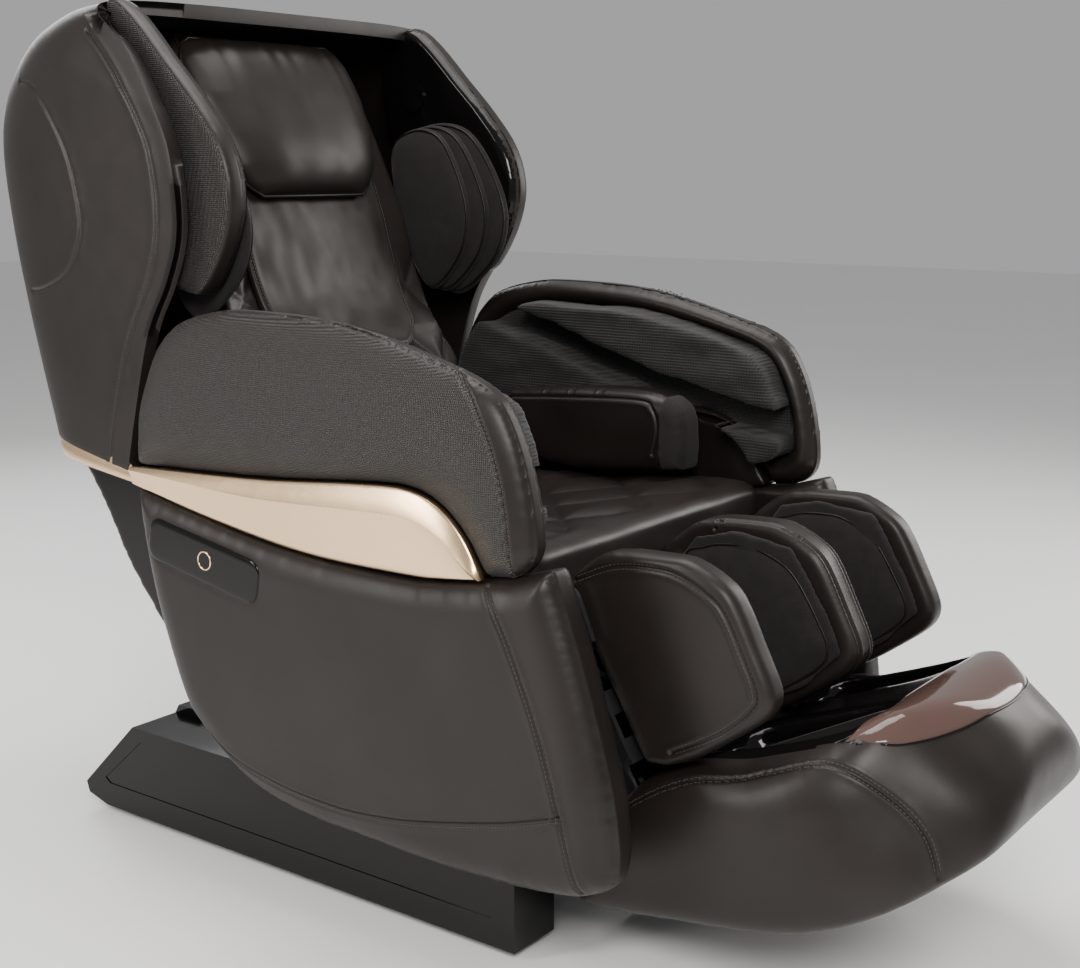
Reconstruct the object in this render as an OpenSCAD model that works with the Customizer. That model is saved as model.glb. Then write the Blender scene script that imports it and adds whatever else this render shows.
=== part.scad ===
// Reclining massage chair with a wrap-round hood, armrests, calf and foot massagers.
// Everything is laid out in side view first: y runs to the back and starts at the front
// end of the base rails, z runs up from the floor. The sitter's right hand is at -x.

/* [Overall] */
// Width over the side panels
chair_w = 800; // [700:10:900]
// Length of the base rails
base_l = 860; // [760:10:1000]
// Height of the trim line, where the hood and the armrests start
belt_z = 620; // [600:10:700]
// Height of the hood above the trim line
hood_h = 668; // [560:4:800]
// Distance from the front of the base to the middle of the whole chair
middle_y = 241; // [200:1:280]

/* [Base] */
// Width of a base rail
rail_w = 90; // [70:2:110]
// Height of the rail tops above the floor
rail_h = 163; // [130:1:170]
// Wall of the plastic covers
cover_t = 4; // [3:0.5:6]
// Height of the rubber floor pads
pad_h = 10; // [6:1:15]
// Radius of the transport wheels
wheel_r = 30; // [24:1:34]

/* [Side panels and armrests] */
// Thickness of a side panel
panel_t = 70; // [56:2:84]
// Width of an armrest
arm_w = 110; // [100:2:130]
// Rim of an armrest round the forearm pocket
arm_rim = 38; // [30:1:46]
// Outer wall of an armrest
arm_wall = 28; // [20:1:34]
// Depth of the metal trim
trim_t = 15; // [10:1:20]
// Free height of the forearm slot
slot_h = 46; // [36:1:56]

/* [Seat and backrest] */
// Height of the seat's front edge
seat_z = 560; // [540:5:580]
// Thickness of the seat cushion
seat_t = 60; // [50:1:64]
// Thickness of the back pad
pad_t = 48; // [38:1:54]
// Thickness of the head pillow
pillow_t = 62; // [50:1:70]
// Wall of the hood
hood_t = 22; // [16:1:26]
// Thickness of a head wing
wing_t = 44; // [36:1:50]
// Angle of the backrest from the vertical
back_angle = 26; // [20:1:30]

/* [Leg rest] */
// Angle of the leg rest from the vertical
leg_angle = 30; // [26:1:34]
// Width over the calf walls
calf_w = 524; // [440:4:560]
// Thickness of the outer calf walls
calf_wall = 44; // [36:1:52]
// Thickness of the middle calf wall
calf_mid = 60; // [48:1:72]
// Width of the foot unit
foot_w = 540; // [460:4:576]
// Width of one foot well
well_w = 116; // [96:2:130]

/* [Steel and pivots] */
// Radius of the hinge pins
pin_r = 10; // [8:0.5:12]
// Running clearance of a pin in its bore
pin_gap = 0.05; // [0.02:0.01:0.1]
// Thickness of steel plates
plate_t = 8; // [6:1:10]
// Side of the square tubes
tube_s = 36; // [30:1:42]
// Radius of the actuators' end pins
end_pin_r = 6; // [5:0.5:7]
// Clearance between parts that move past each other
gap = 5; // [3:0.5:7]

/* [Hidden] */
$fn = 48;

LEATHER = [0.13, 0.12, 0.12];
WEAVE = [0.17, 0.16, 0.16];
GLOSS = [0.03, 0.02, 0.02];
GOLD = [0.85, 0.68, 0.48];
FABRIC = [0.09, 0.07, 0.08];
STEEL = [0.25, 0.26, 0.28];
RUBBER = [0.05, 0.05, 0.05];
RIGHT = -1;
LEFT = 1;
far = 2000; // longer than the chair, for cutting shapes

// ---- widths, all worked out from the chair's own width ----
half = chair_w / 2;
inner = half - panel_t;
arm_in = half - arm_w;
rail_out = inner - 3 * gap;
rail_in = rail_out - rail_w;
plate_x = inner - 37 - plate_t;
seat_half = inner - 5 * gap;
hip_out = arm_in;
hip_w = 60;
hip_in = hip_out - hip_w;
pad_half = hip_in - 2;
hood_half = half - 20;
wing_out = hood_half - hood_t - 14;
wing_in = wing_out - wing_t;
cover_half = inner - 10;
calf_half = min(calf_w / 2, plate_x - 3 * gap);
foot_half = min(foot_w / 2, plate_x - 3 * gap);

// ---- hinge axes in side view ----
tilt_axis = [340, rail_h + 27];
recline_axis = [380, seat_z - 80];
leg_axis = [-60, seat_z - 55];
back_origin = [540, seat_z + 80];

// ---- helpers ----
// One stretch of a smooth line through four points.
function stretch(a, b, c, d, t) =
    0.5 * (2 * b + (c - a) * t + (2 * a - 5 * b + 4 * c - d) * t * t + (3 * b - a - 3 * c + d) * t * t * t);
// A smooth open line through points, with n steps between neighbours.
function curve(p, n = 4) = concat(
    [for (i = [0:len(p) - 2], k = [0:n - 1])
        stretch(p[max(i - 1, 0)], p[i], p[i + 1], p[min(i + 2, len(p) - 1)], k / n)],
    [p[len(p) - 1]]);
function backwards(p) = [for (i = [len(p) - 1:-1:0]) p[i]];
// An outline drawn in a unit square, put at a corner and stretched to a size.
function fit_outline(p, at, size) = [for (q = p) [at[0] + q[0] * size[0], at[1] + q[1] * size[1]]];
// A line moved sideways by d, to the left of its own direction.
function beside(p, d) = [for (i = [0:len(p) - 1])
    let (t = p[min(i + 1, len(p) - 1)] - p[max(i - 1, 0)], l = norm(t))
    p[i] + d * [-t[1], t[0]] / l];
function turned(v, a) = [v[0] * cos(a) + v[1] * sin(a), -v[0] * sin(a) + v[1] * cos(a)];

// A side-view outline made solid between two x values.
module slab(points, x0, x1) {
    translate([x0, 0, 0]) rotate([90, 0, 90]) linear_extrude(x1 - x0) polygon(points);
}
// The same between two distances from the middle, on one side.
module side_slab(side, points, from, to) {
    if (side == RIGHT) slab(points, -to, -from);
    else slab(points, from, to);
}
// A round bar along x, between two x values, at a place in side view.
module bar(at, r, x0, x1) {
    translate([x0, at[0], at[1]]) rotate([0, 90, 0]) cylinder(r = r, h = x1 - x0);
}
module side_bar(side, at, r, from, to) {
    if (side == RIGHT) bar(at, r, -to, -from);
    else bar(at, r, from, to);
}
module block(lo, hi) {
    translate(lo) cube(hi - lo);
}
// A block that is the same on both sides of the middle.
module wide_block(half_x, lo, hi) {
    block([-half_x, lo[0], lo[1]], [half_x, hi[0], hi[1]]);
}
module rounded_plate(size, r) {
    for (sx = [-1, 1], sy = [-1, 1]) translate([sx * (size[0] / 2 - r), sy * (size[1] / 2 - r)]) circle(r);
    square([size[0] - 2 * r, size[1]], center = true);
    square([size[0], size[1] - 2 * r], center = true);
}
// A plate of link shape in side view, with a round end at each of two places.
module link(a, b, ra, rb, x0, x1) {
    d = b - a;
    l = norm(d);
    n = [-d[1], d[0]] / l;
    bar(a, ra, x0, x1);
    bar(b, rb, x0, x1);
    slab([a + n * ra, a - n * ra, b - n * rb, b + n * rb], x0, x1);
}
// The backrest's own axes: z up along the back, y square to it.
module on_back() {
    translate([0, back_origin[0], back_origin[1]]) rotate([-back_angle, 0, 0]) children();
}
function back_point(q, p) = back_origin + turned([q, p], back_angle);
// The leg rest's own axes: z up along the shin, y to the calf.
module on_leg() {
    translate([0, leg_axis[0], leg_axis[1]]) rotate([-leg_angle, 0, 0]) children();
}
function leg_point(q, p) = leg_axis + turned([q, p], leg_angle);
// Puts the finished chair over its own middle.
module placed() {
    translate([0, -middle_y, 0]) children();
}

// ======== base ========
rail_top_end = base_l - 83;
rail_tip = base_l + 43;
cross_h = 60;
cross_z = 50;
wheel_y = base_l - 60;
ear_x = rail_in - 25;
rear_cross_y = base_l - 190;

function rail_outline(d) = [
    [d, pad_h + 2 + d], [d, rail_h - 24], [24, rail_h - d], [rail_top_end - d / 2, rail_h - d],
    [rail_tip - d, 42], [rail_tip - d - 6, 24], [base_l - 8 - d, pad_h + 2 + d]];

module base_cover(side) {
    color(GLOSS) difference() {
        side_slab(side, rail_outline(0), rail_in, rail_out);
        // hollow inside, open underneath
        side_slab(side, concat([[cover_t, -1]], rail_outline(cover_t), [[base_l - 8 - cover_t, -1]]),
            rail_in + cover_t, rail_out - cover_t);
        // shallow inset along the outer face
        side_slab(side, [[40, 52], [40, rail_h - 22], [rail_top_end - 18, rail_h - 22],
            [rail_tip - 50, 60], [rail_tip - 62, 52]], rail_out - 1.5, rail_out + 1);
        // openings for the two cross tubes
        for (y = [40, rear_cross_y])
            block([-rail_in - cover_t - 1, y - 1, cross_z - 1],
                [rail_in + cover_t + 1, y + tube_s + 1, cross_z + cross_h + 1]);
    }
}

module base_frame() {
    color(STEEL) difference() {
        union() {
            for (s = [-1, 1]) {
                x = s * (rail_in + rail_w / 2);
                block([x - tube_s / 2, 30, cross_z - 28], [x + tube_s / 2, wheel_y - wheel_r - 8, cross_z + cross_h]);
                // ears that carry the tilting seat frame
                link([tilt_axis[0], cross_z + 20], tilt_axis, 26, pin_r + 10,
                    min(s * ear_x, s * (ear_x - plate_t)), max(s * ear_x, s * (ear_x - plate_t)));
                // wheel forks
                for (dx = [-19, 13])
                    link([wheel_y - wheel_r - 20, 72], [wheel_y, wheel_r + 5], 12, 12, x + dx, x + dx + 6);
            }
            for (y = [40, rear_cross_y])
                wide_block(rail_in + rail_w / 2, [y, cross_z], [y + tube_s, cross_z + cross_h]);
            wide_block(ear_x, [tilt_axis[0] - 26, cross_z], [tilt_axis[0] + 26, cross_z + 36]);
            for (s = [-1, 1])
                block([s * 120 - 15, 50, cross_z + 4], [s * 120 + 15, rear_cross_y + 10, cross_z + 34]);
            // seat of the tilt actuator
            tilt_bracket();
        }
        bar(tilt_axis, pin_r + pin_gap, -far, far);
        bar([wheel_y, wheel_r + 5], 6 + pin_gap, -far, far);
    }
}

module floor_pads() {
    color(RUBBER) for (s = [-1, 1], y = [90, base_l - 190])
        translate([s * (rail_in + rail_w / 2), y, 0]) {
            cylinder(r = 24, h = pad_h);
            cylinder(r = 10, h = cross_z - 28);
        }
}

module transport_wheels() {
    color(RUBBER) for (s = [-1, 1]) {
        x = s * (rail_in + rail_w / 2);
        bar([wheel_y, wheel_r + 5], wheel_r, x - 10, x + 10);
        bar([wheel_y, wheel_r + 5], 6, x - 24, x + 24);
    }
}

rear_face_y = base_l - 60;
rear_cover_top = rail_h + 14;
module base_rear_cover() {
    w = rail_in - 1;
    color(GLOSS) difference() {
        union() {
            slab([[rear_face_y - 90, pad_h + 2], [rear_face_y - 90, rear_cover_top - 12],
                [rear_face_y - 78, rear_cover_top], [rear_face_y - 30, rear_cover_top],
                [rear_face_y, rear_cover_top - 50], [rear_face_y, pad_h + 2]], -w, w);
        }
        slab([[rear_face_y - 91, pad_h + 1], [rear_face_y - 91, rear_cover_top - 16],
            [rear_face_y - 76, rear_cover_top - cover_t], [rear_face_y - 32, rear_cover_top - cover_t],
            [rear_face_y - cover_t, rear_cover_top - 52], [rear_face_y - cover_t, pad_h + 1]],
            -w + cover_t, w - cover_t);
        // windows for the inlet and the switch
        translate([-90, rear_face_y, 80]) rotate([90, 0, 0])
            translate([0, 0, -1]) linear_extrude(cover_t + 2) square([48, 28], center = true);
        translate([-30, rear_face_y, 80]) rotate([90, 0, 0])
            translate([0, 0, -1]) linear_extrude(cover_t + 2) square([28, 34], center = true);
    }
}

inlet_depth = 26;
module power_inlet() {
    color(GLOSS) translate([0, rear_face_y, 80]) difference() {
        union() {
            // appliance socket
            translate([-90, 0, 0]) {
                translate([0, 2, 0]) rotate([90, 0, 0]) linear_extrude(2) rounded_plate([62, 36], 4);
                translate([0, 0, 0]) rotate([90, 0, 0]) linear_extrude(inlet_depth) square([46, 26], center = true);
            }
            // surround of the rocker
            translate([-30, 0, 0]) {
                translate([0, 2, 0]) rotate([90, 0, 0]) linear_extrude(2) rounded_plate([38, 44], 4);
                rotate([90, 0, 0]) linear_extrude(20) square([26, 32], center = true);
            }
        }
        translate([-90, 3, 0]) rotate([90, 0, 0]) linear_extrude(20) square([32, 16], center = true);
        translate([-30, 3, 0]) rotate([90, 0, 0]) linear_extrude(18) square([20, 26], center = true);
        translate([-45, -6, 0]) rotate([0, 90, 0]) cylinder(r = 2 + pin_gap, h = 30);
    }
    // contact blades
    color(GOLD) for (x = [-97, -90, -83])
        translate([x - 1, rear_face_y - 19, 76]) cube([2, 14, 8]);
}

module power_switch() {
    color(RUBBER) translate([-30, rear_face_y - 6, 80]) {
        rotate([90, 0, 90]) translate([0, 0, -9])
            linear_extrude(18) polygon([[-4, -11], [6, -11.5], [3.5, 0], [9, 11.5], [-4, 11]]);
        translate([-13, 0, 0]) rotate([0, 90, 0]) cylinder(r = 2, h = 26);
    }
}

module control_box() {
    color(RUBBER) {
        block([-100, 110, cross_z + 36], [100, 300, cross_z + 86]);
        for (s = [-1, 1]) block([s * 112 - 12, 130, cross_z + 36], [s * 112 + 12, 280, cross_z + 40]);
    }
}

// ======== linear actuators ========
// Each is a tube with its motor, fixed at one end, and a rod whose eye has room round the pin.
module tube_body(from, to, x, r, motor_side) {
    d = to - from;
    l = norm(d);
    a = atan2(d[0], d[1]);
    translate([x, from[0], from[1]]) rotate([-a, 0, 0]) {
        cylinder(r = r, h = l);
        translate([0, motor_side * (r + 20), 24]) cylinder(r = 24, h = 86);
        translate([-18, min(0, motor_side * (r + 36)), 0]) cube([36, r + 36, 30]);
    }
}
module tube_with_motor(from, to, x, r, motor_side) {
    d = to - from;
    l = norm(d);
    a = atan2(d[0], d[1]);
    color(STEEL) difference() {
        tube_body(from, to, x, r, motor_side);
        translate([x, from[0], from[1]]) rotate([-a, 0, 0]) translate([0, 0, 34]) cylinder(r = 11, h = l);
    }
}
module rod_with_eye(from, eye, x, hole_r) {
    d = eye - from;
    l = norm(d);
    a = atan2(d[0], d[1]);
    color(STEEL) difference() {
        union() {
            translate([x, from[0], from[1]]) rotate([-a, 0, 0]) cylinder(r = 10, h = l - hole_r - 3);
            bar(eye, hole_r + 7, x - 9, x + 9);
        }
        bar(eye, hole_r, x - 20, x + 20);
    }
}

// Tilt: pushes the seat frame up from the front of the base.
tilt_arm = 240;
tilt_dir = turned([-1, 0], 25);
tilt_pin = tilt_axis + tilt_arm * tilt_dir;
tilt_mid = 5;
tilt_push = turned([0, 1], 25 + tilt_mid);
tilt_foot = tilt_pin - 200 * tilt_push;
tilt_hole = end_pin_r + 2;
module tilt_bracket() {
    f = tilt_foot;
    for (x = [-34, 22]) link([f[0] - 20, cross_z + 30], f + 20 * tilt_push, 14, 14, x, x + 12);
    wide_block(34, [f[0] - 46, cross_z], [f[0] + 10, cross_z + 36]);
}
module tilt_actuator_tube() {
    difference() {
        tube_with_motor(tilt_foot + 2 * tilt_push, tilt_foot + 130 * tilt_push, 0, 19, 1);
        color(STEEL) for (x = [-34, 22])
            link([tilt_foot[0] - 20, cross_z + 30], tilt_foot + 20 * tilt_push, 14.5, 14.5, x - 0.5, x + 12.5);
        wide_block(35, [tilt_foot[0] - 47, cross_z - 1], [tilt_foot[0] + 11, cross_z + 36.5]);
        wide_block(far, [39.5, cross_z - 1], [40.5 + tube_s, cross_z + cross_h + 0.5]);
    }
}
module tilt_actuator_rod() {
    rod_with_eye(tilt_foot + 70 * tilt_push, tilt_pin, 0, tilt_hole);
}

// Recline: pulls the lever under the backrest's hinge.
recline_lever = 110;
recline_mid = 16;
recline_pin = recline_axis + recline_lever * turned([0, -1], -recline_mid);
recline_eye = [recline_pin[0], recline_axis[1] - recline_lever * (1 + cos(recline_mid)) / 2];
recline_hole = end_pin_r + 4.5;
recline_x = 84;
module recline_actuator_tube() {
    tube_with_motor([recline_eye[0] - 322, recline_eye[1]], [recline_eye[0] - 110, recline_eye[1]], recline_x, 19, -1);
}
module recline_actuator_rod() {
    rod_with_eye([recline_eye[0] - 190, recline_eye[1]], recline_eye, recline_x, recline_hole);
}

// Leg lift: pushes the lever behind the leg rest's hinge.
leg_lever = 92;
leg_mid = 24;
leg_lever_angle = 30;
leg_pin = leg_axis + leg_lever * turned([0, -1], leg_lever_angle - leg_mid);
leg_push = turned([-1, 0], leg_lever_angle);
leg_middle = leg_axis + leg_lever * turned([0, -1], leg_lever_angle);
leg_sag = leg_lever * (1 - cos(28)) / 2;
leg_travel_back = leg_lever * sin(leg_mid);
leg_eye = leg_middle + turned([0, 1], leg_lever_angle) * leg_sag - leg_push * leg_travel_back;
leg_hole = end_pin_r + 7;
leg_x = -84;
module leg_actuator_tube() {
    tube_with_motor(leg_eye - 330 * leg_push, leg_eye - 100 * leg_push, leg_x, 19, 1);
}
module leg_actuator_rod() {
    rod_with_eye(leg_eye - 190 * leg_push, leg_eye, leg_x, leg_hole);
}
leg_start = leg_eye - 330 * leg_push;
recline_start = [recline_eye[0] - 322, recline_eye[1]];

// ======== seat frame ========
// An outline made smaller by d at each end of its height and of its length.
function inset(p, d) = let (ys = [for (q = p) q[0]], zs = [for (q = p) q[1]],
    lo = [min(ys), min(zs)], hi = [max(ys), max(zs)], c = (lo + hi) / 2, s = hi - lo)
    [for (q = p) [c[0] + (q[0] - c[0]) * (1 - 2 * d / s[0]), c[1] + (q[1] - c[1]) * (1 - 2 * d / s[1])]];
// A slab with its two faces' edges rounded in three steps.
module soft_slab(side, points, from, to, r) {
    for (k = [0:2]) {
        a = 15 + 30 * k;
        side_slab(side, inset(points, r * (1 - cos(a))), from + r * (1 - sin(a)), to - r * (1 - sin(a)));
    }
}
// The same across the middle of the chair.
module soft_wide(points, half_x, r) {
    for (k = [0:2]) {
        a = 15 + 30 * k;
        slab(inset(points, r * (1 - cos(a))), -half_x + r * (1 - sin(a)), half_x - r * (1 - sin(a)));
    }
}

pan_t = 10;
cushion_bottom = seat_z - seat_t;
hub_r = pin_r + 8;
front_tube = [52, cushion_bottom - 126];
mid_tube = [226, tilt_axis[1] + 36];
low_tube = [tilt_axis[0] - 20, tilt_axis[1] + 25];
plate_top = cushion_bottom - pan_t;
plate_outline = [leg_axis + [-12, -13], [45, 345], [200, tilt_axis[1] + 22], [372, tilt_axis[1] + 15],
    [385, 240], recline_axis + [hub_r, 0], recline_axis + [0, hub_r], [335, plate_top], [-15, plate_top],
    leg_axis + [6, hub_r - 1]];
module seat_frame() {
    color(STEEL) difference() {
        union() {
            for (s = [RIGHT, LEFT]) {
                side_slab(s, plate_outline, plate_x, plate_x + plate_t);
                side_bar(s, leg_axis, hub_r, plate_x, plate_x + plate_t);
                side_bar(s, recline_axis, hub_r, plate_x, plate_x + plate_t);
                // stand-offs that carry the side panels
                for (p = [[0, 430], [190, 300], [250, 440]])
                    side_slab(s, [p, p + [60, 0], p + [60, 40], p + [0, 40]], plate_x + plate_t - 2, inner);
                // lugs of the tilt hinge
                for (x = [ear_x - plate_t - 4 - plate_t, ear_x + 4])
                    side_slab(s, [tilt_axis + [-hub_r, 0], tilt_axis + [hub_r, 0], tilt_axis + [20, 30],
                        tilt_axis + [-20, 30]], x, x + plate_t);
                for (x = [ear_x - plate_t - 4 - plate_t, ear_x + 4]) side_bar(s, tilt_axis, hub_r, x, x + plate_t);
            }
            for (c = [front_tube, mid_tube, low_tube])
                wide_block(plate_x + 1, c, c + [tube_s, tube_s]);
            // lugs of the tilt rod
            for (x = [-19, 11]) {
                link(front_tube + [18, 18], tilt_pin, 14, 14, x, x + 8);
            }
            bar(tilt_pin, end_pin_r, -20, 20);
            // saddle of the leg actuator
            block([leg_x - 18, mid_tube[0] - 20, mid_tube[1]], [leg_x + 18, mid_tube[0] + tube_s, mid_tube[1] + 74]);
            // saddle of the recline actuator
            block([recline_x - 18, front_tube[0] + 2, front_tube[1]],
                [recline_x + 18, recline_start[0], recline_start[1] + 55]);
        }
        for (x = [-1, 1]) {
            bar(leg_axis, pin_r, -far, far);
            bar(recline_axis, pin_r, -far, far);
            bar(tilt_axis, pin_r, -far, far);
        }
        tube_body(leg_start, leg_eye - 100 * leg_push, leg_x, 19, 1);
        tube_body(recline_start, [recline_eye[0] - 110, recline_eye[1]], recline_x, 19, -1);
        // lightening holes in the side plates
        bar([150, 400], 34, -far, -plate_x + 1);
        bar([150, 400], 34, plate_x - 1, far);
        bar([320, 340], 40, -far, -plate_x + 1);
        bar([320, 340], 40, plate_x - 1, far);
    }
}

module pivot_pins() {
    color(STEEL) for (s = [RIGHT, LEFT]) {
        side_bar(s, leg_axis, pin_r, plate_x - plate_t - gap - 6, plate_x + plate_t);
        side_bar(s, recline_axis, pin_r, plate_x - plate_t - gap - 6, plate_x + plate_t);
        side_bar(s, tilt_axis, pin_r, ear_x - plate_t - 4 - plate_t, ear_x + 4 + plate_t);
        side_bar(s, leg_axis, pin_r + 5, plate_x + plate_t, plate_x + plate_t + 5);
        side_bar(s, recline_axis, pin_r + 5, plate_x + plate_t, plate_x + plate_t + 5);
    }
}

module seat_pan() {
    color(RUBBER) wide_block(plate_x + plate_t, [-15, plate_top], [335, cushion_bottom]);
}

cushion_top = curve([[-20, seat_z - 8], [0, seat_z + 7], [60, seat_z + 9], [150, seat_z], [250, seat_z - 10],
    [350, seat_z - 8], [430, seat_z + 5], [452, seat_z + 8]]);
module seat_cushion() {
    outline = concat([[-22, cushion_bottom + 4], [-18, cushion_bottom], [450, cushion_bottom],
        [455, cushion_bottom + 10]], backwards(cushion_top));
    color(LEATHER) difference() {
        soft_wide(outline, seat_half, 10);
        // the rear corners leave room for the backrest's plates
        for (s = [RIGHT, LEFT])
            side_slab(s, [[340, 0], [far, 0], [far, far], [340, far]], plate_x - plate_t - 3 * gap, far);
        // the soft stepped edge stays on the pan
        block([-far, -far, 0], [far, far, cushion_bottom]);
    }
}

module knee_flap() {
    color(FABRIC) wide_block(plate_x - plate_t - 2 * gap, [-21, cushion_bottom - 100], [-15, cushion_bottom]);
}

module air_pump() {
    color(RUBBER) {
        block([112, 196, mid_tube[1] + tube_s], [226, 326, mid_tube[1] + tube_s + 76]);
        translate([169, 262, mid_tube[1] + tube_s + 76]) cylinder(r = 12, h = 16);
    }
}

// ======== side panels, trim and armrests ========
trim_low = curve([[-11, belt_z - 71], [50, belt_z - 80], [120, belt_z - 85], [297, belt_z - 83],
    [480, belt_z - 60], [648, belt_z - 29]]);
trim_high = curve([[-11, belt_z - 71], [20, belt_z - 22], [60, belt_z + 12], [114, belt_z + 28],
    [201, belt_z + 25], [389, belt_z + 9], [648, belt_z - 2]]);
arm_low = concat([[-46, belt_z - 67]], trim_high);
panel_front = curve([[-106, belt_z - 48], [-145, 470], [-181, 356], [-198, 285], [-203, 222], [-190, 180],
    [-137, 150]]);
panel_bottom = curve([[-137, 150], [-43, 137], [127, 132], [313, 140], [430, 165], [495, 207], [552, 262],
    [586, 330], [620, 430], [640, 520], [648, belt_z - 29]]);
function tail(p) = [for (i = [1:len(p) - 1]) p[i]];
function head(p) = [for (i = [0:len(p) - 2]) p[i]];
panel_outline = concat(panel_front, tail(panel_bottom), tail(backwards(trim_low)), [[-46, belt_z - 67]]);
trim_outline = concat(trim_low, tail(head(backwards(trim_high))));
arm_back = curve([[648, belt_z - 2], [643, belt_z + 70], [621, belt_z + 128], [592, belt_z + 178],
    [550, belt_z + 212], [480, belt_z + 232], [406, belt_z + 238], [229, belt_z + 230], [62, belt_z + 191],
    [-17, belt_z + 161], [-54, belt_z + 110], [-76, belt_z + 40], [-84, belt_z - 26], [-70, belt_z - 55],
    [-46, belt_z - 67]]);
arm_outline = concat(head(arm_low), head(arm_back));
badge_at = [495, belt_z - 120];

module side_panel(side) {
    color(LEATHER) difference() {
        soft_slab(side, panel_outline, inner, half, 16);
        // recess for the name plate
        badge_shape(side, half - 4, half + 1);
    }
}
// The rounded plate on the panel, between two distances from the middle.
module badge_shape(side, from, to) {
    x0 = side == RIGHT ? -to : from;
    translate([x0, badge_at[0], badge_at[1]]) rotate([10, 0, 0]) rotate([90, 0, 90])
        linear_extrude(to - from) rounded_plate([232, 64], 20);
}
module side_plates() {
    color(GLOSS) for (s = [RIGHT, LEFT]) badge_shape(s, half - 4, half - 1);
    // plain ring in place of a mark
    color(GOLD) for (s = [RIGHT, LEFT])
        translate([s * (half - 1), badge_at[0], badge_at[1]]) rotate([0, s * 90, 0]) difference() {
            cylinder(r = 12, h = 1);
            translate([0, 0, -1]) cylinder(r = 8, h = 3);
        }
}

module side_trim(side) {
    color(GOLD) {
        side_slab(side, trim_outline, half - trim_t, half - 4);
        side_slab(side, inset(trim_outline, 5), half - 4, half);
        // the backing that carries the armrest
        side_slab(side, inset(trim_outline, 0.01), inner, half - trim_t);
    }
}

// forearm pocket and the slot between its two rows of airbags
pocket_outline = inset(arm_outline, arm_rim);
slot_line = curve([[-70, belt_z + 34], [60, belt_z + 48], [240, belt_z + 96], [400, belt_z + 148],
    [560, belt_z + 190]]);
slot_outline = concat(beside(slot_line, -slot_h / 2), backwards(beside(slot_line, slot_h / 2)));
lobe_in = arm_in + 6; // the airbags bulge out of the pocket, towards the sitter
module pocket(side, from, to) {
    difference() {
        side_slab(side, pocket_outline, from, to);
        for (d = [0, 8]) side_slab(side, [for (p = trim_outline) p + [0, d]], from - 1, to + 1);
    }
}
module armrest(side) {
    color(WEAVE) difference() {
        soft_slab(side, arm_outline, inner + gap, half, 16);
        pocket(side, inner, half - arm_wall);
        // stands on the trim
        side_slab(side, trim_outline, inner - 1, half + 1);
    }
}
module arm_lining(side) {
    color(FABRIC) difference() {
        pocket(side, lobe_in, half - arm_wall);
        side_slab(side, slot_outline, lobe_in - 1, half - arm_wall - 10);
    }
}

hip_outline = concat(curve([[92, seat_z + 16], [250, seat_z - 3], [350, seat_z - 1], [440, seat_z + 14]]),
    curve([[440, seat_z + 120], [300, seat_z + 132], [159, seat_z + 138], [98, seat_z + 112], [88, seat_z + 50]]));
module hip_pad(side) {
    color(LEATHER) soft_slab(side, hip_outline, hip_in, lobe_in, 8);
}

// ======== backrest ========
pad_back = pad_t - 24;
pad_front = curve([[-78, -80], [-74, -30], [-65, 15], [-38, 109], [-24, 210], [-36, 300], [-43, 371],
    [-43, 523], [-34, 620], [-28, 668]]);
pad_outline = concat([[pad_back, -80], [pad_back, 668]], backwards(pad_front));
flap_front = [for (p = pad_front) if (p[1] > 100) p];
window_half = 116;
flap_half = 172;
flap_outline = concat(flap_front, backwards([for (p = flap_front) p + [-8, 0]]));
module back_pad() {
    color(LEATHER) on_back() difference() {
        soft_wide(pad_outline, pad_half, 10);
        block([-window_half, -far, 60], [window_half, far, 640]);
        // the flap lies flush on the pad
        slab(flap_outline, -flap_half - 1, flap_half + 1);
        // flat where the frame's uprights stand
        block([-far, pad_back, -far], [far, far, far]);
    }
}
module back_flap() {
    color(LEATHER) on_back() slab(flap_outline, -flap_half, flap_half);
}
pillow_q = -56;
pillow_low = 372;
pillow_high = 634;
pillow_pivot = [pillow_q + 6, pillow_high + 4];
module head_pillow() {
    q = pillow_q;
    outline = concat(curve([[q, pillow_low + 14], [q, 500], [q, pillow_high - 12], [q - 12, pillow_high],
        [q - 34, pillow_high - 6], [q - pillow_t + 6, pillow_high - 50], [q - pillow_t, 520],
        [q - pillow_t + 6, pillow_low + 60], [q - 34, pillow_low + 8], [q - 12, pillow_low]], 3));
    color(LEATHER) on_back() intersection() {
        soft_wide(outline, 185, 16);
        rotate([90, 0, 0]) translate([0, 0, -far])
            linear_extrude(2 * far) polygon(concat(
                curve([[120, pillow_low], [150, pillow_low + 30], [178, pillow_low + 110], [185, 530],
                    [180, pillow_high - 30], [160, pillow_high]], 3),
                curve([[-160, pillow_high], [-180, pillow_high - 30], [-185, 530], [-178, pillow_low + 110],
                    [-150, pillow_low + 30], [-120, pillow_low]], 3)));
    }
}

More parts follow.
